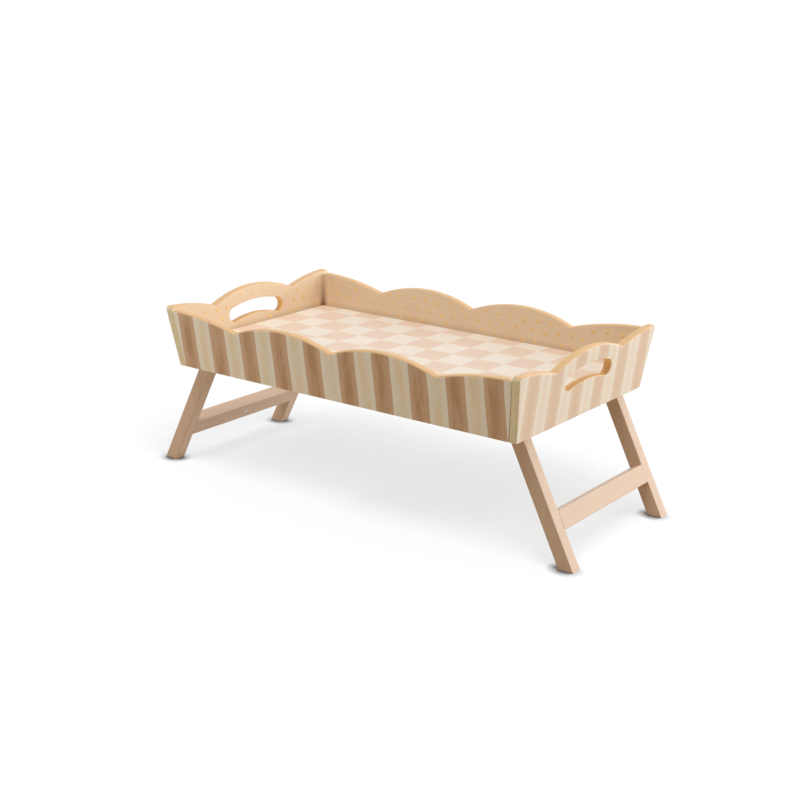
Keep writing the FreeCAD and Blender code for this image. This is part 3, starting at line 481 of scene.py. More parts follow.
def checked_floor():
    """Acrylic paint on birch plywood: soft hand-brushed checks above, bare wood below."""
    paint = bpy.context.scene.tray_paint
    wood = bpy.context.scene.tray_wood
    material, tree, shader = new_material("Checked_acrylic_on_birch_ply")
    place = object_place(tree)
    parts = split(tree, place)
    marks = brush_marks(tree, place, (14 * MM, 40 * MM, 14 * MM),
                        (1.0 * MM, 30 * MM, 1.0 * MM))
    wander = ranged(tree, marks.outputs["Band"], (0.0, 1.0), (-0.8 * MM, 0.8 * MM))
    lights = []
    middles = []
    for axis, width, start in (("X", paint.check_length, paint.check_start),
                               ("Y", paint.check_width, paint.check_side)):
        position = maths(tree, "ADD", parts[axis], wander)
        shifted = maths(tree, "SUBTRACT", position, start)
        stripes = even_stripes(tree, shifted, width, 1.6 * paint.soft_edge)
        lights.append(stripes["Light"])
        middles.append(stripes["Middle"])

    # Light where exactly one of the two sets of stripes is.
    both = maths(tree, "MULTIPLY", lights[0], lights[1])
    either = maths(tree, "ADD", lights[0], lights[1])
    check = maths(tree, "MULTIPLY_ADD", both, -2.0, either)
    blush = maths(tree, "MULTIPLY", marks.outputs["Band"], middles[1])
    dark = mixed(tree, blush, paint.check_dark, paint.check_blush)
    painted = brushed_tone(tree, mixed(tree, check, dark, paint.check_light), marks, 0.012)
    grain = brush_marks(tree, place, (220 * MM, wood.streak, wood.streak),
                        (40 * MM, wood.fibre, wood.fibre))
    bare = brushed_tone(
        tree, mixed(tree, grain.outputs["Band"], wood.ply, wood.ply_dark), grain, 0.05)
    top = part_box("tray_floor")[1].z
    above = maths(tree, "GREATER_THAN", parts["Z"], top - 0.3 * MM)
    satin(tree, shader, mixed(tree, above, bare, painted), 0.44, ACRYLIC_IOR)
    relief(tree, shader, marks.outputs["Bristle"], 0.015 * MM)
    return material


def painted_side_shade(tree, folded, colour, keeps):
    """Painted shade: a darker tone for a leg's front and back sides, chosen to match the photograph.
    """
    low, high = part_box("right_back_leg")
    from_middle = maths(tree, "SUBTRACT", split(tree, folded)["Y"], (low.y + high.y) / 2)
    off = maths(tree, "ABSOLUTE", from_middle)
    half = (high.y - low.y) / 2
    share = ranged(tree, off, (half - 0.7 * MM, half - 0.1 * MM))
    darker = add_node(tree, "ShaderNodeMix", {
        0: 1.0, 6: colour, 7: keeps,
    }, data_type="RGBA", blend_type="MULTIPLY")
    return mixed(tree, share, colour, darker.outputs[2])


def straight_grain(name, light, dark, turn, contrast, gloss, leg=False):
    """Planed straight-grained wood. The turn puts its grain along local Z.

    A leg has it folded onto the right back leg, and painted shade on its front and back sides.
    """
    wood = bpy.context.scene.tray_wood
    material, tree, shader = new_material(name)
    source = object_place(tree)
    if leg:
        source = vectors(tree, "ABSOLUTE", source)
    turned = add_node(tree, "ShaderNodeMapping", {"Vector": source, "Rotation": turn},
                      vector_type="POINT").outputs["Vector"]
    grain = brush_marks(tree, turned, (wood.streak, wood.streak, 260 * MM),
                        (wood.fibre, wood.fibre, 50 * MM))
    flecks = vectors(tree, "DIVIDE", turned, (0.35 * MM, 0.35 * MM, wood.fleck))
    speckle = add_node(tree, "ShaderNodeTexNoise", {
        "Vector": flecks, "Scale": 1.0, "Detail": 1.0,
    })
    dots = ranged(tree, speckle.outputs["Fac"], (0.62, 0.72), (0.0, contrast))
    ring = maths(tree, "MULTIPLY_ADD", grain.outputs["Band"], contrast, dots)
    colour = brushed_tone(tree, mixed(tree, ring, light, dark), grain, 0.04)
    # Painted shade on the front and back sides of a leg.
    if leg:
        colour = painted_side_shade(tree, source, colour, wood.leg_side_shade)
    satin(tree, shader, colour, gloss, CLEAR_COAT_IOR)
    relief(tree, shader, grain.outputs["Bristle"], 0.025 * MM)
    return material


def plated_metal(name, colour, roughness):
    """Plated metal: bright, with faint turning marks and small changes in polish."""
    material, tree, shader = new_material(name)
    marks = brush_marks(tree, object_place(tree), (3 * MM, 3 * MM, 3 * MM),
                        (0.25 * MM, 0.25 * MM, 0.25 * MM))
    polish = ranged(tree, marks.outputs["Band"], (0.0, 1.0), (roughness * 0.8, roughness * 1.2))
    tree.links.new(brushed_tone(tree, colour, marks, 0.03), shader.inputs["Base Color"])
    tree.links.new(polish, shader.inputs["Roughness"])
    shader.inputs["Metallic"].default_value = 1.0
    relief(tree, shader, marks.outputs["Bristle"], 0.004 * MM)
    return material


def gold_dab_paint():
    """Thick gold acrylic paint: a glossy raised dab, a touch uneven."""
    paint = bpy.context.scene.tray_paint
    material, tree, shader = new_material("Gold_mica_acrylic_dabs")
    marks = brush_marks(tree, object_place(tree), (30 * MM, 30 * MM, 30 * MM),
                        (0.6 * MM, 0.6 * MM, 0.6 * MM))
    tree.links.new(brushed_tone(tree, paint.dab, marks, 0.05), shader.inputs["Base Color"])
    shader.inputs["Roughness"].default_value = 0.38
    shader.inputs["IOR"].default_value = CLEAR_COAT_IOR
    relief(tree, shader, marks.outputs["Bristle"], 0.01 * MM)
    return material


def coat(nodes, material):
    """Give a material to CAD nodes, in place of the plain one."""
    for name in nodes:
        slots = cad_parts[name].material_slots
        for slot in slots:
            slot.material = material
        if not slots:
            raise RuntimeError(f"{name} has no material slot")


# ---- Geometry node trees ----


def geometry_tree(name, inputs):
    """A geometry tree with one mesh in, one out, and the named inputs with their defaults."""
    tree = bpy.data.node_groups.new(name, "GeometryNodeTree")
    tree.interface.new_socket("Geometry", in_out="INPUT", socket_type="NodeSocketGeometry")
    for kind, socket in inputs:
        tree.interface.new_socket(socket, in_out="INPUT", socket_type=f"NodeSocket{kind}")
    tree.interface.new_socket("Geometry", in_out="OUTPUT", socket_type="NodeSocketGeometry")
    entry = add_node(tree, "NodeGroupInput").outputs
    return tree, entry, add_node(tree, "NodeGroupOutput")


def scene_object(name, mesh):
    """A new object in the scene, at the origin."""
    piece = bpy.data.objects.new(name, mesh)
    bpy.context.scene.collection.objects.link(piece)
    return piece


def body_of(tree, source):
    """The shape of an object that a socket names."""
    return add_node(tree, "GeometryNodeObjectInfo", {"Object": source},
                    transform_space="ORIGINAL").outputs["Geometry"]


def both(tree, first, second):
    return add_node(tree, "FunctionNodeBooleanMath", {0: first, 1: second},
                    operation="AND").outputs[0]


def more(tree, number, limit):
    return add_node(tree, "FunctionNodeCompare", {0: number, 1: limit},
                    operation="GREATER_THAN", data_type="FLOAT").outputs[0]


def grow(name, mesh, tree, values):
    """Run a geometry tree on a mesh and keep the result as a plain mesh object."""
    seed_object = scene_object(f"{name}_seed", mesh)
    modifier = seed_object.modifiers.new("Grow", "NODES")
    modifier.node_group = tree
    for item in tree.interface.items_tree:
        if item.item_type == "SOCKET" and item.in_out == "INPUT" and item.name in values:
            modifier[item.identifier] = values[item.name]
    seed_object.update_tag()
    bpy.context.view_layer.update()
    graph = bpy.context.evaluated_depsgraph_get()
    grown = bpy.data.meshes.new_from_object(seed_object.evaluated_get(graph), depsgraph=graph)
    bpy.data.objects.remove(seed_object)
    if not grown.polygons:
        raise RuntimeError(f"{name} came out empty")
    grown.name = name
    return scene_object(name, grown)


def dab_tree():
    """Dabs of paint in staggered, slightly unruly rows on one flat face of a board.

    A dab stays only where the whole of it, and a margin round it, lies on the face.
    """
    tree, entry, exit_node = geometry_tree("Paint_dabs", (
        ("Vector", "Origin"), ("Vector", "Along"), ("Vector", "Up"), ("Vector", "Normal"),
        ("Rotation", "Turn"), ("Float", "Spacing"), ("Float", "Rows"), ("Float", "Stray"),
        ("Float", "Diameter"), ("Float", "Relief"), ("Float", "Margin"),
        ("Int", "Columns"), ("Int", "Row Count"), ("Int", "Seed"),
        ("Object", "Board"), ("Object", "Floor"), ("Object", "Neighbour A"),
        ("Object", "Neighbour B"), ("Material", "Paint"),
    ))
    grid = add_node(tree, "GeometryNodeMeshGrid", {
        "Size X": 0.0, "Size Y": 0.0, "Vertices X": entry["Columns"],
        "Vertices Y": entry["Row Count"],
    })
    index = add_node(tree, "GeometryNodeInputIndex").outputs[0]
    column = maths(tree, "FLOOR", maths(tree, "DIVIDE", index, entry["Row Count"]))
    row = maths(tree, "FLOORED_MODULO", index, entry["Row Count"])
    odd = maths(tree, "MODULO", row, 2.0)
    staggered = maths(tree, "MULTIPLY_ADD", odd, 0.5, column)
    across = maths(tree, "MULTIPLY", staggered, entry["Spacing"])
    height = maths(tree, "MULTIPLY", row, entry["Rows"])
    strays = []
    for offset in (0, 1):
        seed = maths(tree, "ADD", entry["Seed"], float(offset))
        low = maths(tree, "MULTIPLY", entry["Stray"], -1.0)
        strays.append(add_node(tree, "FunctionNodeRandomValue", {
            2: low, 3: entry["Stray"], "ID": index, "Seed": seed,
        }, data_type="FLOAT").outputs[1])
    place = entry["Origin"]
    for direction, step, stray in (("Along", across, strays[0]), ("Up", height, strays[1])):
        distance = maths(tree, "ADD", step, stray)
        move = vectors(tree, "SCALE", entry[direction], scale=distance)
        place = vectors(tree, "ADD", place, move)
    spread = add_node(tree, "GeometryNodeSetPosition", {
        "Geometry": grid.outputs["Mesh"], "Position": place,
    })

    # Feelers in a ring drop onto the board from 3 mm away, and all must find the face.
    drop = 3 * MM
    radius = maths(tree, "MULTIPLY_ADD", entry["Diameter"], 0.5, entry["Margin"])
    board = body_of(tree, entry["Board"])
    downwards = vectors(tree, "SCALE", entry["Normal"], scale=-1.0)
    spot = add_node(tree, "GeometryNodeInputPosition").outputs[0]
    raised = vectors(tree, "MULTIPLY_ADD", entry["Normal"], (drop, drop, drop), spot)
    keep = None
    for step in range(RING_STEPS):
        turn = 2 * math.pi * step / RING_STEPS
        feeler = raised
        for direction, share in (("Along", math.cos(turn)), ("Up", math.sin(turn))):
            reach = maths(tree, "MULTIPLY", radius, share)
            move = vectors(tree, "SCALE", entry[direction], scale=reach)
            feeler = vectors(tree, "ADD", feeler, move)
        ray = add_node(tree, "GeometryNodeRaycast", {
            "Target Geometry": board, "Source Position": feeler, "Ray Direction": downwards,
            "Ray Length": 1.05 * drop,
        })
        found = both(tree, ray.outputs["Is Hit"],
                     more(tree, ray.outputs["Hit Distance"], 0.95 * drop))
        keep = both(tree, keep, found) if keep else found
    beside = add_node(tree, "GeometryNodeJoinGeometry")
    for name in ("Floor", "Neighbour A", "Neighbour B"):
        tree.links.new(body_of(tree, entry[name]), beside.inputs[0])
    near = add_node(tree, "GeometryNodeProximity", {0: beside.outputs[0]},
                    target_element="FACES")
    keep = both(tree, keep, more(tree, near.outputs["Distance"], radius))
    dab = add_node(tree, "GeometryNodeMeshUVSphere", {
        "Segments": 14, "Rings": 5, "Radius": 0.5,
    })
    shape = add_node(tree, "ShaderNodeCombineXYZ", {
        "X": entry["Diameter"], "Y": entry["Diameter"],
        "Z": maths(tree, "MULTIPLY", entry["Relief"], 2.0),
    })
    flat = add_node(tree, "GeometryNodeTransform", {
        "Geometry": dab.outputs["Mesh"], "Scale": shape.outputs[0],
    })
    sizes = add_node(tree, "FunctionNodeRandomValue", {
        2: DAB_SIZES[0], 3: DAB_SIZES[1], "ID": index, "Seed": entry["Seed"],
    }, data_type="FLOAT").outputs[1]
    copies = add_node(tree, "GeometryNodeInstanceOnPoints", {
        "Points": spread.outputs["Geometry"], "Selection": keep,
        "Instance": flat.outputs["Geometry"], "Rotation": entry["Turn"], "Scale": sizes,
    })
    real = add_node(tree, "GeometryNodeRealizeInstances", {0: copies.outputs["Instances"]})
    smooth = add_node(tree, "GeometryNodeSetShadeSmooth", {0: real.outputs[0]})
    finish = add_node(tree, "GeometryNodeSetMaterial", {
        "Geometry": smooth.outputs[0], "Material": entry["Paint"],
    })
    tree.links.new(finish.outputs[0], exit_node.inputs["Geometry"])
    return tree


def recess_tree():
    """Fasteners: a turned body with a recess cut into its head, one at each point.

    Each point carries the direction in which its head looks.
    """
    tree, entry, exit_node = geometry_tree("Recessed_fasteners", (
        ("Object", "Turned Body"), ("Object", "Recess Cutter"), ("Material", "Metal"),
    ))
    cut = add_node(tree, "GeometryNodeMeshBoolean", {
        0: body_of(tree, entry["Turned Body"]), 1: body_of(tree, entry["Recess Cutter"]),
    }, operation="DIFFERENCE", solver="MANIFOLD")
    looks = add_node(tree, "GeometryNodeInputNamedAttribute", {"Name": "head_looks"},
                     data_type="FLOAT_VECTOR")
    turn = add_node(tree, "FunctionNodeAlignRotationToVector", {
        "Vector": looks.outputs["Attribute"],
    }, axis="Z")
    copies = add_node(tree, "GeometryNodeInstanceOnPoints", {
        "Points": entry["Geometry"], "Instance": cut.outputs["Mesh"],
        "Rotation": turn.outputs["Rotation"],
    })
    real = add_node(tree, "GeometryNodeRealizeInstances", {0: copies.outputs["Instances"]})
    finish = add_node(tree, "GeometryNodeSetMaterial", {
        "Geometry": real.outputs[0], "Material": entry["Metal"],
    })
    tree.links.new(finish.outputs[0], exit_node.inputs["Geometry"])
    return tree


# ---- Fasteners ----


def solid_boxes(node):
    """Lowest and highest corner of each separate solid of a CAD node."""
    work = bmesh.new()
    work.from_mesh(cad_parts[node].data)
    bmesh.ops.remove_doubles(work, verts=work.verts, dist=0.001 * MM)
    waiting = set(work.verts)
    boxes = []
    while waiting:
        reached = [waiting.pop()]
        places = []
        while reached:
            vertex = reached.pop()
            places.append(vertex.co.copy())
            for edge in vertex.link_edges:
                other = edge.other_vert(vertex)
                if other in waiting:
                    waiting.remove(other)
                    reached.append(other)
        low = Vector(min(place[axis] for place in places) for axis in range(3))
        high = Vector(max(place[axis] for place in places) for axis in range(3))
        boxes.append((low, high))
    work.free()
    return boxes


def head_points(node, axis):
    """A mesh of points at the tops of the heads, which look inwards along X or Y."""
    points = bpy.data.meshes.new(f"{node}_points")
    places = []
    directions = []
    for low, high in solid_boxes(node):
        place = (low + high) / 2
        side = 1 if place[axis] > 0 else -1
        place[axis] = min(low[axis], high[axis], key=abs)
        direction = Vector((0, 0, 0))
        direction[axis] = -side
        places.append(place)
        directions.append(direction)
    points.from_pydata(places, [], [])
    attribute = points.attributes.new("head_looks", "FLOAT_VECTOR", "POINT")
    for entry, direction in zip(attribute.data, directions):
        entry.vector = direction
    return points


def work_object(name, work):
    """An object of a finished work mesh."""
    bmesh.ops.recalc_face_normals(work, faces=work.faces)
    mesh = bpy.data.meshes.new(name)
    work.to_mesh(mesh)
    work.free()
    return scene_object(name, mesh)


def turned_body(name, profile, steps=28):
    """Spin a profile of (radius, height) pairs, from the top to the tip, about Z."""
    work = bmesh.new()
    ring = [work.verts.new((radius, 0, height)) for radius, height in profile]
    edges = [work.edges.new(pair) for pair in zip(ring, ring[1:])]
    bmesh.ops.spin(work, geom=ring + edges, cent=(0, 0, 0), axis=(0, 0, 1),
                   angle=2 * math.pi, steps=steps)
    bmesh.ops.remove_doubles(work, verts=work.verts, dist=0.01 * MM)
    return work_object(name, work)


def head_profile(radius, height, rounding):
    """Outline of a head with a rounded rim, from the middle of its top outwards."""
    points = [(0.0, 0.0)]
    for step in range(5):
        turn = math.radians(90 * step / 4)
        points.append((radius - rounding + rounding * math.sin(turn),
                       -rounding + rounding * math.cos(turn)))
    points.append((radius, -height))
    return points


def cross_cutter(name, reach, width, depth):
    """Two crossed tapered wedges, for a cross recess."""
    work = bmesh.new()
    for turn in (0, math.pi / 2):
        corners = []
        for height, shrink in ((0.2 * depth, 1.0), (-depth, 0.35)):
            for x, y in ((-1, -1), (1, -1), (1, 1), (-1, 1)):
                corner = Vector((x * reach * shrink, y * width / 2, height))
                corners.append(work.verts.new(Matrix.Rotation(turn, 3, "Z") @ corner))
        for face in ((3, 2, 1, 0), (4, 5, 6, 7), (0, 1, 5, 4), (1, 2, 6, 5), (2, 3, 7, 6),
                     (3, 0, 4, 7)):
            work.faces.new([corners[index] for index in face])
    return work_object(name, work)


def hexagon_cutter(name, flats, depth):
    """A six-sided prism with a conical bottom, for a socket."""
    corner = flats / 2 / math.cos(math.pi / 6)
    profile = [(0.0, 0.2 * depth), (corner, 0.2 * depth), (corner, -depth),
               (0.0, -depth - 0.25 * flats)]
    return turned_body(name, profile, steps=6)


def fit_fasteners(node, axis, body, cutter, metal):
    """Put recessed fasteners where a CAD node has its plain ones."""
    tree = bpy.data.node_groups.get("Recessed_fasteners") or recess_tree()
    piece = grow(f"{node}_recessed", head_points(node, axis), tree, {
        "Turned Body": body, "Recess Cutter": cutter, "Metal": metal,
    })
    for helper in (body, cutter):
        bpy.data.objects.remove(helper)
    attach(piece, "tray")
    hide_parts(node)
    return piece


def shaft_size(node, axis):
    """Length along the axis and head diameter of the fasteners of a CAD node."""
    low, high = solid_boxes(node)[0]
    across = 1 - axis
    return high[axis] - low[axis], high[across] - low[across]


# ---- Operators ----


class TRAY_OT_paint_long_boards(bpy.types.Operator):
    """Stripe the front and back boards, with a gold line along their scallops"""

    bl_idname = "tray.paint_long_boards"
    bl_label = "Paint Long Boards"

    def execute(self, context):
        paint = context.scene.tray_paint
        floor_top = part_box("tray_floor")[1].z
        material = striped_board(
            "Striped_acrylic_on_long_boards", "back_board", (0, 1, 0), "X",
            {"width": paint.long_stripe, "shift": 0.0, "gold_from": floor_top,
             "end_plane": ("right_end_board", (-1, 0, 0)), "corner_at": 0.0},
            {"light": paint.long_light, "light_core": paint.long_light_core,
             "dark": paint.long_dark, "dark_core": paint.long_dark_core,
             "end": paint.long_light},
        )
        coat(LONG_BOARDS, material)
        return {"FINISHED"}


class TRAY_OT_paint_end_boards(bpy.types.Operator):
    """Stripe the end boards, with gold along their crests and in the handle slots"""

    bl_idname = "tray.paint_end_boards"
    bl_label = "Paint End Boards"

    def execute(self, context):
        paint = context.scene.tray_paint
        floor_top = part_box("tray_floor")[1].z
        material = striped_board(
            "Striped_acrylic_on_end_boards", "right_end_board", (1, 0, 0), "Y",
            {"width": paint.end_stripe, "shift": paint.end_shift, "gold_from": floor_top,
             "end_plane": ("back_board", (0, 1, 0)), "corner_at": BOARD,
             "slot": (SLOT_REACH, SLOT_TOP)},
            {"light": paint.end_light, "light_core": paint.end_light_core,
             "dark": paint.end_dark, "dark_core": paint.end_dark_core,
             "end": paint.corner},
        )
        coat(END_BOARDS, material)
        return {"FINISHED"}


class TRAY_OT_paint_floor(bpy.types.Operator):
    """Brush soft checks on the tray floor and leave its underside bare"""

    bl_idname = "tray.paint_floor"
    bl_label = "Paint Floor"

    def execute(self, context):
        coat(("tray_floor",), checked_floor())
        return {"FINISHED"}


class TRAY_OT_dab_gold(bpy.types.Operator):
    """Dab small gold dots on the four inner faces of the tray"""

    bl_idname = "tray.dab_gold"
    bl_label = "Dab Gold Dots"

    def execute(self, context):
        paint = context.scene.tray_paint
        material = gold_dab_paint()
        tree = dab_tree()
        faces = (
            ("front_board", (0, 1, 0), END_BOARDS, 11),
            ("back_board", (0, -1, 0), END_BOARDS, 23),
            ("left_end_board", (1, 0, 0), LONG_BOARDS, 37),
            ("right_end_board", (-1, 0, 0), LONG_BOARDS, 53),
        )
        floor_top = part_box("tray_floor")[1].z
        for board, towards, neighbours, seed in faces:
            normal, distance = face_plane(board, towards)
            along = Vector((0, 0, 1)).cross(normal).normalized()
            up = normal.cross(along)
            low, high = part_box(board)
            half = max(abs(low.dot(along)), abs(high.dot(along)))
            start = Vector((0, 0, floor_top))
            start += normal * ((distance - start.dot(normal)) / (1 - normal.z ** 2))
            start.z = floor_top
            start -= along * half
            start += up * (paint.dab_diameter / 2 + paint.dab_margin)
            frame_turn = Matrix((along, up, normal)).transposed()
            piece = grow(f"{board}_gold_dabs", bpy.data.meshes.new("blank"), tree, {
                "Origin": start, "Along": along, "Up": up, "Normal": normal,
                "Turn": frame_turn.to_euler(), "Spacing": paint.dab_spacing,
                "Rows": paint.dab_rows, "Stray": paint.dab_stray,
                "Diameter": paint.dab_diameter, "Relief": paint.dab_relief,
                "Margin": paint.dab_margin, "Columns": int(2 * half / paint.dab_spacing) + 1,
                "Row Count": int((high.z - floor_top) / paint.dab_rows) + 1, "Seed": seed,
                "Board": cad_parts[board], "Floor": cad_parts["tray_floor"],
                "Neighbour A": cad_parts[neighbours[0]],
                "Neighbour B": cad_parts[neighbours[1]], "Paint": material,
            })
            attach(piece, "tray")
        return {"FINISHED"}


class TRAY_OT_finish_leg_frames(bpy.types.Operator):
    """Give the legs and stretchers clear-coated beech with the grain along each piece"""

    bl_idname = "tray.finish_leg_frames"
    bl_label = "Finish Leg Frames"

    def execute(self, context):
        wood = context.scene.tray_wood
        splay = math.asin(face_plane("right_front_leg", (1, 0, 0))[0].z)
        beech = straight_grain("Clear_coated_beech_legs", wood.leg, wood.leg_dark,
                               (0, splay, 0), 0.45, 0.42, leg=True)
        rail = straight_grain("Clear_coated_beech_stretchers", wood.leg, wood.leg_dark,
                              GRAIN_ALONG_Y, 0.45, 0.42)
        peg = straight_grain("Turned_beech_dowels", wood.leg, wood.leg_dark,
                             GRAIN_ALONG_X, 0.6, 0.6)
        for side in ("left", "right"):
            coat((f"{side}_front_leg", f"{side}_back_leg"), beech)
            coat((f"{side}_stretcher",), rail)
            coat((f"{side}_stretcher_dowels",), peg)
        coat(("corner_dowels",), peg)
        return {"FINISHED"}


class TRAY_OT_finish_underside(bpy.types.Operator):
    """Leave the stop cleats and pivot blocks under the tray as planed softwood"""

    bl_idname = "tray.finish_underside"
    bl_label = "Finish Underside"

    def execute(self, context):
        wood = context.scene.tray_wood
        across = straight_grain("Planed_pine_cleats", wood.soft, wood.soft_dark,
                                GRAIN_ALONG_Y, 0.7, 0.6)
        along = straight_grain("Planed_pine_blocks", wood.soft, wood.soft_dark,
                               GRAIN_ALONG_X, 0.7, 0.6)
        for side in ("left", "right"):
            coat((f"{side}_stop_cleat",), across)
            coat((f"{side}_front_pivot_block", f"{side}_back_pivot_block"), along)
        return {"FINISHED"}


class TRAY_OT_fit_screws(bpy.types.Operator):
    """Fit cross-recess screws into the cleats and blocks"""

    bl_idname = "tray.fit_screws"
    bl_label = "Fit Screws"

    def execute(self, context):
        metal = context.scene.tray_metal
        zinc = plated_metal("Zinc_plated_steel_screws", metal.zinc, 0.34)
        for node, axis in (("stop_cleat_screws", 0), ("pivot_block_screws", 1)):
            length, head = shaft_size(node, axis)
            radius = head / 2
            shaft = radius / 2
            profile = head_profile(radius, metal.screw_head, metal.head_round)
            profile += [(shaft, -metal.screw_head), (shaft, -length + 3 * shaft),
                        (0.0, -length)]
            body = turned_body("screw_body", profile)
            cutter = cross_cutter("screw_cross", radius * 0.6, metal.cross_width,
                                  metal.cross_depth)
            fit_fasteners(node, axis, body, cutter, zinc)
        return {"FINISHED"}


class TRAY_OT_fit_pivots(bpy.types.Operator):
    """Fit the socket-head pivot bolts, and finish their washers and inserts"""

    bl_idname = "tray.fit_pivots"
    bl_label = "Fit Pivots"

    def execute(self, context):
        metal = context.scene.tray_metal
        zinc = plated_metal("Zinc_plated_steel_bolts", metal.zinc, 0.28)
        washer = plated_metal("Zinc_plated_steel_washers", metal.zinc, 0.36)
        cast = plated_metal("Die_cast_zinc_inserts", metal.insert, 0.5)
        length, head = shaft_size("pivot_bolts", 1)
        radius = head / 2
        shaft = metal.bolt_shank / 2
        profile = head_profile(radius, metal.bolt_head, metal.bolt_round)
        profile += [(shaft, -metal.bolt_head), (shaft, -length + 0.6 * MM),
                    (shaft - 0.6 * MM, -length), (0.0, -length)]
        body = turned_body("bolt_body", profile, steps=36)
        cutter = hexagon_cutter("bolt_socket", metal.hexagon, metal.hexagon_depth)
        fit_fasteners("pivot_bolts", 1, body, cutter, zinc)
        coat(("pivot_spacer_washers", "pivot_head_washers"), washer)
        coat(("pivot_inserts",), cast)
        return {"FINISHED"}


class TRAY_OT_finish_catches(bpy.types.Operator):
    """Finish the magnets in the stretchers and the plates under the floor"""

    bl_idname = "tray.finish_catches"
    bl_label = "Finish Catches"

    def execute(self, context):
        metal = context.scene.tray_metal
        nickel = plated_metal("Nickel_plated_magnets", metal.nickel, 0.45)
        steel = plated_metal("Zinc_plated_catch_plates", metal.zinc, 0.38)
        coat(("left_catch_magnet", "right_catch_magnet"), nickel)
        coat(("catch_plates",), steel)
        return {"FINISHED"}


class TRAY_OT_set_stage(bpy.types.Operator):
    """Lay the pale floor, hang the soft lights and place the camera of the photograph"""

    bl_idname = "tray.set_stage"
    bl_label = "Set Stage"

    def execute(self, context):
        studio = context.scene.tray_studio
        lay_floor(studio)
        light_studio(context.scene, studio)
        place_camera(context.scene, studio)
        return {"FINISHED"}


# ---- Stage ----


def seen_directly(tree):
    """1 for camera, mirror and glass rays, which see the white of the studio."""
    path = add_node(tree, "ShaderNodeLightPath").outputs
    total = path["Is Camera Ray"]
    for name in ("Is Glossy Ray", "Is Transmission Ray"):
        total = maths(tree, "MAXIMUM", total, path[name])
    return total


def lay_floor(studio):
    """White paper that is mostly its own light, and bounces a warm light at the tray.

    Its shadows come from ambient occlusion, fitted to the photograph, not from the lamps.
    """
    mesh = bpy.data.meshes.new("paper_floor")
    reach = 60.0
    mesh.from_pydata([(-reach, -reach, 0), (reach, -reach, 0), (reach, reach, 0),
                      (-reach, reach, 0)], [], [(0, 1, 2, 3)])
    floor = scene_object("paper_floor", mesh)
    material = bpy.data.materials.new("Matt_white_paper")
    tree = empty_tree(material)
    shades = []
    for shadow, darkest, smooth in ((FOOT_SHADOW, FOOT_SHADE, False),
                                    (BROAD_SHADOW, studio.paper_shade, True)):
        towards, reach, limits = shadow
        side = add_node(tree, "ShaderNodeCombineXYZ", enumerate(towards))
        hidden = add_node(tree, "ShaderNodeAmbientOcclusion", {
            "Distance": reach, "Normal": side.outputs[0],
        }, samples=16).outputs["AO"]
        shades.append(ranged(tree, hidden, limits, (darkest, 1.0), smooth))
    shade = maths(tree, "MULTIPLY", *shades)
    glow_level = maths(tree, "MULTIPLY", shade, studio.paper_glow)
    paper = add_node(tree, "ShaderNodeBsdfDiffuse", {"Color": tuple(studio.paper)})
    glow = add_node(tree, "ShaderNodeEmission", {"Strength": glow_level})
    seen = add_node(tree, "ShaderNodeAddShader", {0: paper.outputs[0], 1: glow.outputs[0]})
    unseen = add_node(tree, "ShaderNodeBsdfDiffuse", {"Color": tuple(studio.bounce)})
    surface = add_node(tree, "ShaderNodeMixShader", {
        0: seen_directly(tree), 1: unseen.outputs[0], 2: seen.outputs[0],
    })
    add_node(tree, "ShaderNodeOutputMaterial", {"Surface": surface.outputs[0]})
    mesh.materials.append(material)


def hang_lamp(scene, name, kind, place, strength, size):
    """A lamp at the place, turned to the tray and out of the camera's sight."""
    lamp = bpy.data.lights.new(name, kind)
    lamp.energy = strength
    if kind == "SUN":
        lamp.angle = size
    else:
        lamp.size = size
    holder = bpy.data.objects.new(name, lamp)
    holder.rotation_euler = Vector(place).to_track_quat("Z", "Y").to_euler()
    holder.location = place
    holder.visible_camera = False
    scene.collection.objects.link(holder)


def light_studio(scene, studio):
    """A lamp overhead and three soft boxes, in a studio brighter on the right and behind."""
    tilt = studio.forward
    hang_lamp(scene, "overhead_lamp", "SUN", (0, -2 * math.sin(tilt), 2 * math.cos(tilt)),
              math.pi * studio.overhead, studio.spread)
    for name, place, level in SOFT_BOXES:
        hang_lamp(scene, name, "AREA", place, math.pi ** 2 * getattr(studio, level),
                  0.35 * Vector(place).length)
    world = bpy.data.worlds.new("studio")
    tree = empty_tree(world)
    direction = add_node(tree, "ShaderNodeTexCoord").outputs["Generated"]
    bright_side = Vector((0.35, 0.5, 0.79)).normalized()
    facing = vectors(tree, "DOT_PRODUCT", direction, bright_side)
    share = ranged(tree, facing, (-0.2, 1.0), smooth=True)
    level = mixed(tree, share, tuple(studio.dim),
                  (studio.bright, studio.bright, studio.bright, 1.0))
    around = add_node(tree, "ShaderNodeBackground", {"Color": level, "Strength": 1.0})
    white = add_node(tree, "ShaderNodeBackground", {
        "Color": (1.0, 1.0, 1.0, 1.0), "Strength": 1.0,
    })
    surface = add_node(tree, "ShaderNodeMixShader", {
        0: seen_directly(tree), 1: around.outputs[0], 2: white.outputs[0],
    })
    add_node(tree, "ShaderNodeOutputWorld", {"Surface": surface.outputs[0]})
    scene.world = world
    scene.view_settings.view_transform = "Standard"


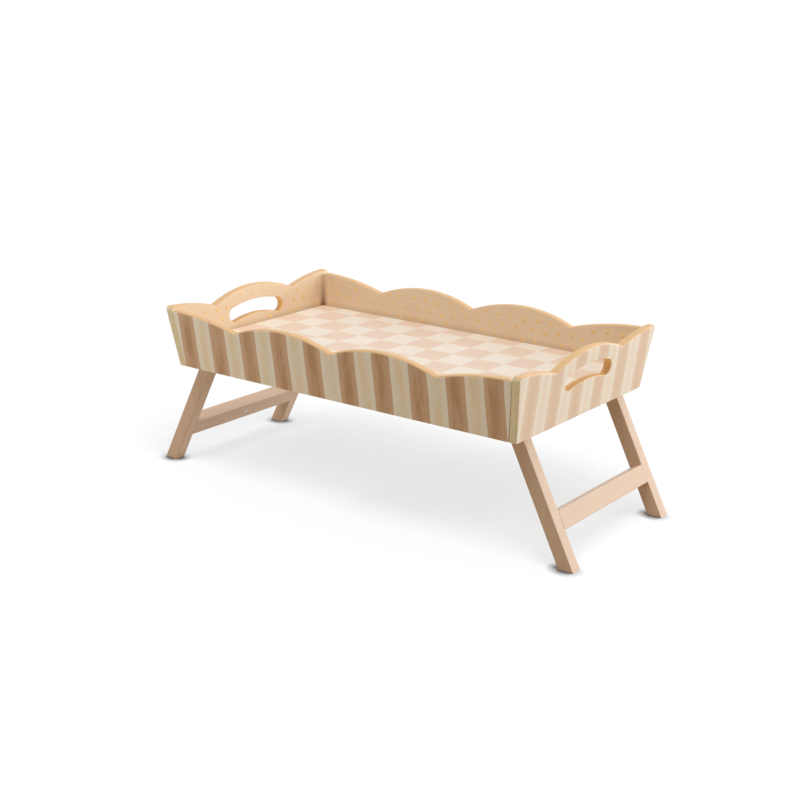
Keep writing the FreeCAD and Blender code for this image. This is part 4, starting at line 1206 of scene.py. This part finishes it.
def place_camera(scene, studio):
    """Camera at the photograph's viewpoint, found from the tray's corners and feet."""
    turn, rise = studio.azimuth, studio.elevation
    back = Vector((math.sin(turn) * math.cos(rise), -math.cos(turn) * math.cos(rise),
                   math.sin(rise)))
    right = Vector((math.cos(turn), math.sin(turn), 0))
    up = back.cross(right)
    rolled_right = right * math.cos(studio.roll) + up * math.sin(studio.roll)
    rolled_up = up * math.cos(studio.roll) - right * math.sin(studio.roll)
    middle = PHOTO_PIXELS / 2
    per_pixel = studio.distance / studio.focal_pixels
    place = Vector((0, 0, studio.target_height)) + back * studio.distance
    place -= rolled_right * (studio.target_across - middle) * per_pixel
    place += rolled_up * (studio.target_down - middle) * per_pixel
    lens = bpy.data.cameras.new("photo_camera")
    lens.sensor_width = 36.0
    lens.lens = studio.focal_pixels / PHOTO_PIXELS * lens.sensor_width
    lens.clip_end = 200.0
    camera = bpy.data.objects.new("photo_camera", lens)
    scene.collection.objects.link(camera)
    camera.matrix_world = Matrix.Translation(place) @ Matrix(
        (rolled_right, rolled_up, back)).transposed().to_4x4()
    scene.camera = camera


# ---- Panel and registration ----


OPERATORS = (
    TRAY_OT_paint_long_boards,
    TRAY_OT_paint_end_boards,
    TRAY_OT_paint_floor,
    TRAY_OT_dab_gold,
    TRAY_OT_finish_leg_frames,
    TRAY_OT_finish_underside,
    TRAY_OT_fit_screws,
    TRAY_OT_fit_pivots,
    TRAY_OT_finish_catches,
    TRAY_OT_set_stage,
)


class TRAY_PT_bed_tray(bpy.types.Panel):
    """Settings and steps of the bed tray table"""

    bl_idname = "TRAY_PT_bed_tray"
    bl_label = "Bed Tray Table"
    bl_space_type = "VIEW_3D"
    bl_region_type = "UI"
    bl_category = "Bed Tray"

    def draw(self, context):
        for name, group in SETTINGS:
            box = self.layout.box()
            for setting in group.__annotations__:
                box.prop(getattr(context.scene, name), setting)
        for operator in OPERATORS:
            self.layout.operator(operator.bl_idname)


def register():
    for name, group in SETTINGS:
        bpy.utils.register_class(group)
        setattr(bpy.types.Scene, name, bpy.props.PointerProperty(type=group))
    for operator in OPERATORS:
        bpy.utils.register_class(operator)
    bpy.utils.register_class(TRAY_PT_bed_tray)


def unregister():
    bpy.utils.unregister_class(TRAY_PT_bed_tray)
    for operator in reversed(OPERATORS):
        bpy.utils.unregister_class(operator)
    for name, group in reversed(SETTINGS):
        delattr(bpy.types.Scene, name)
        bpy.utils.unregister_class(group)


def main():
    register()
    for operator in OPERATORS:
        step = operator.bl_idname.split(".")[1]
        getattr(bpy.ops.tray, step)()


if __name__ == "__main__":
    main()
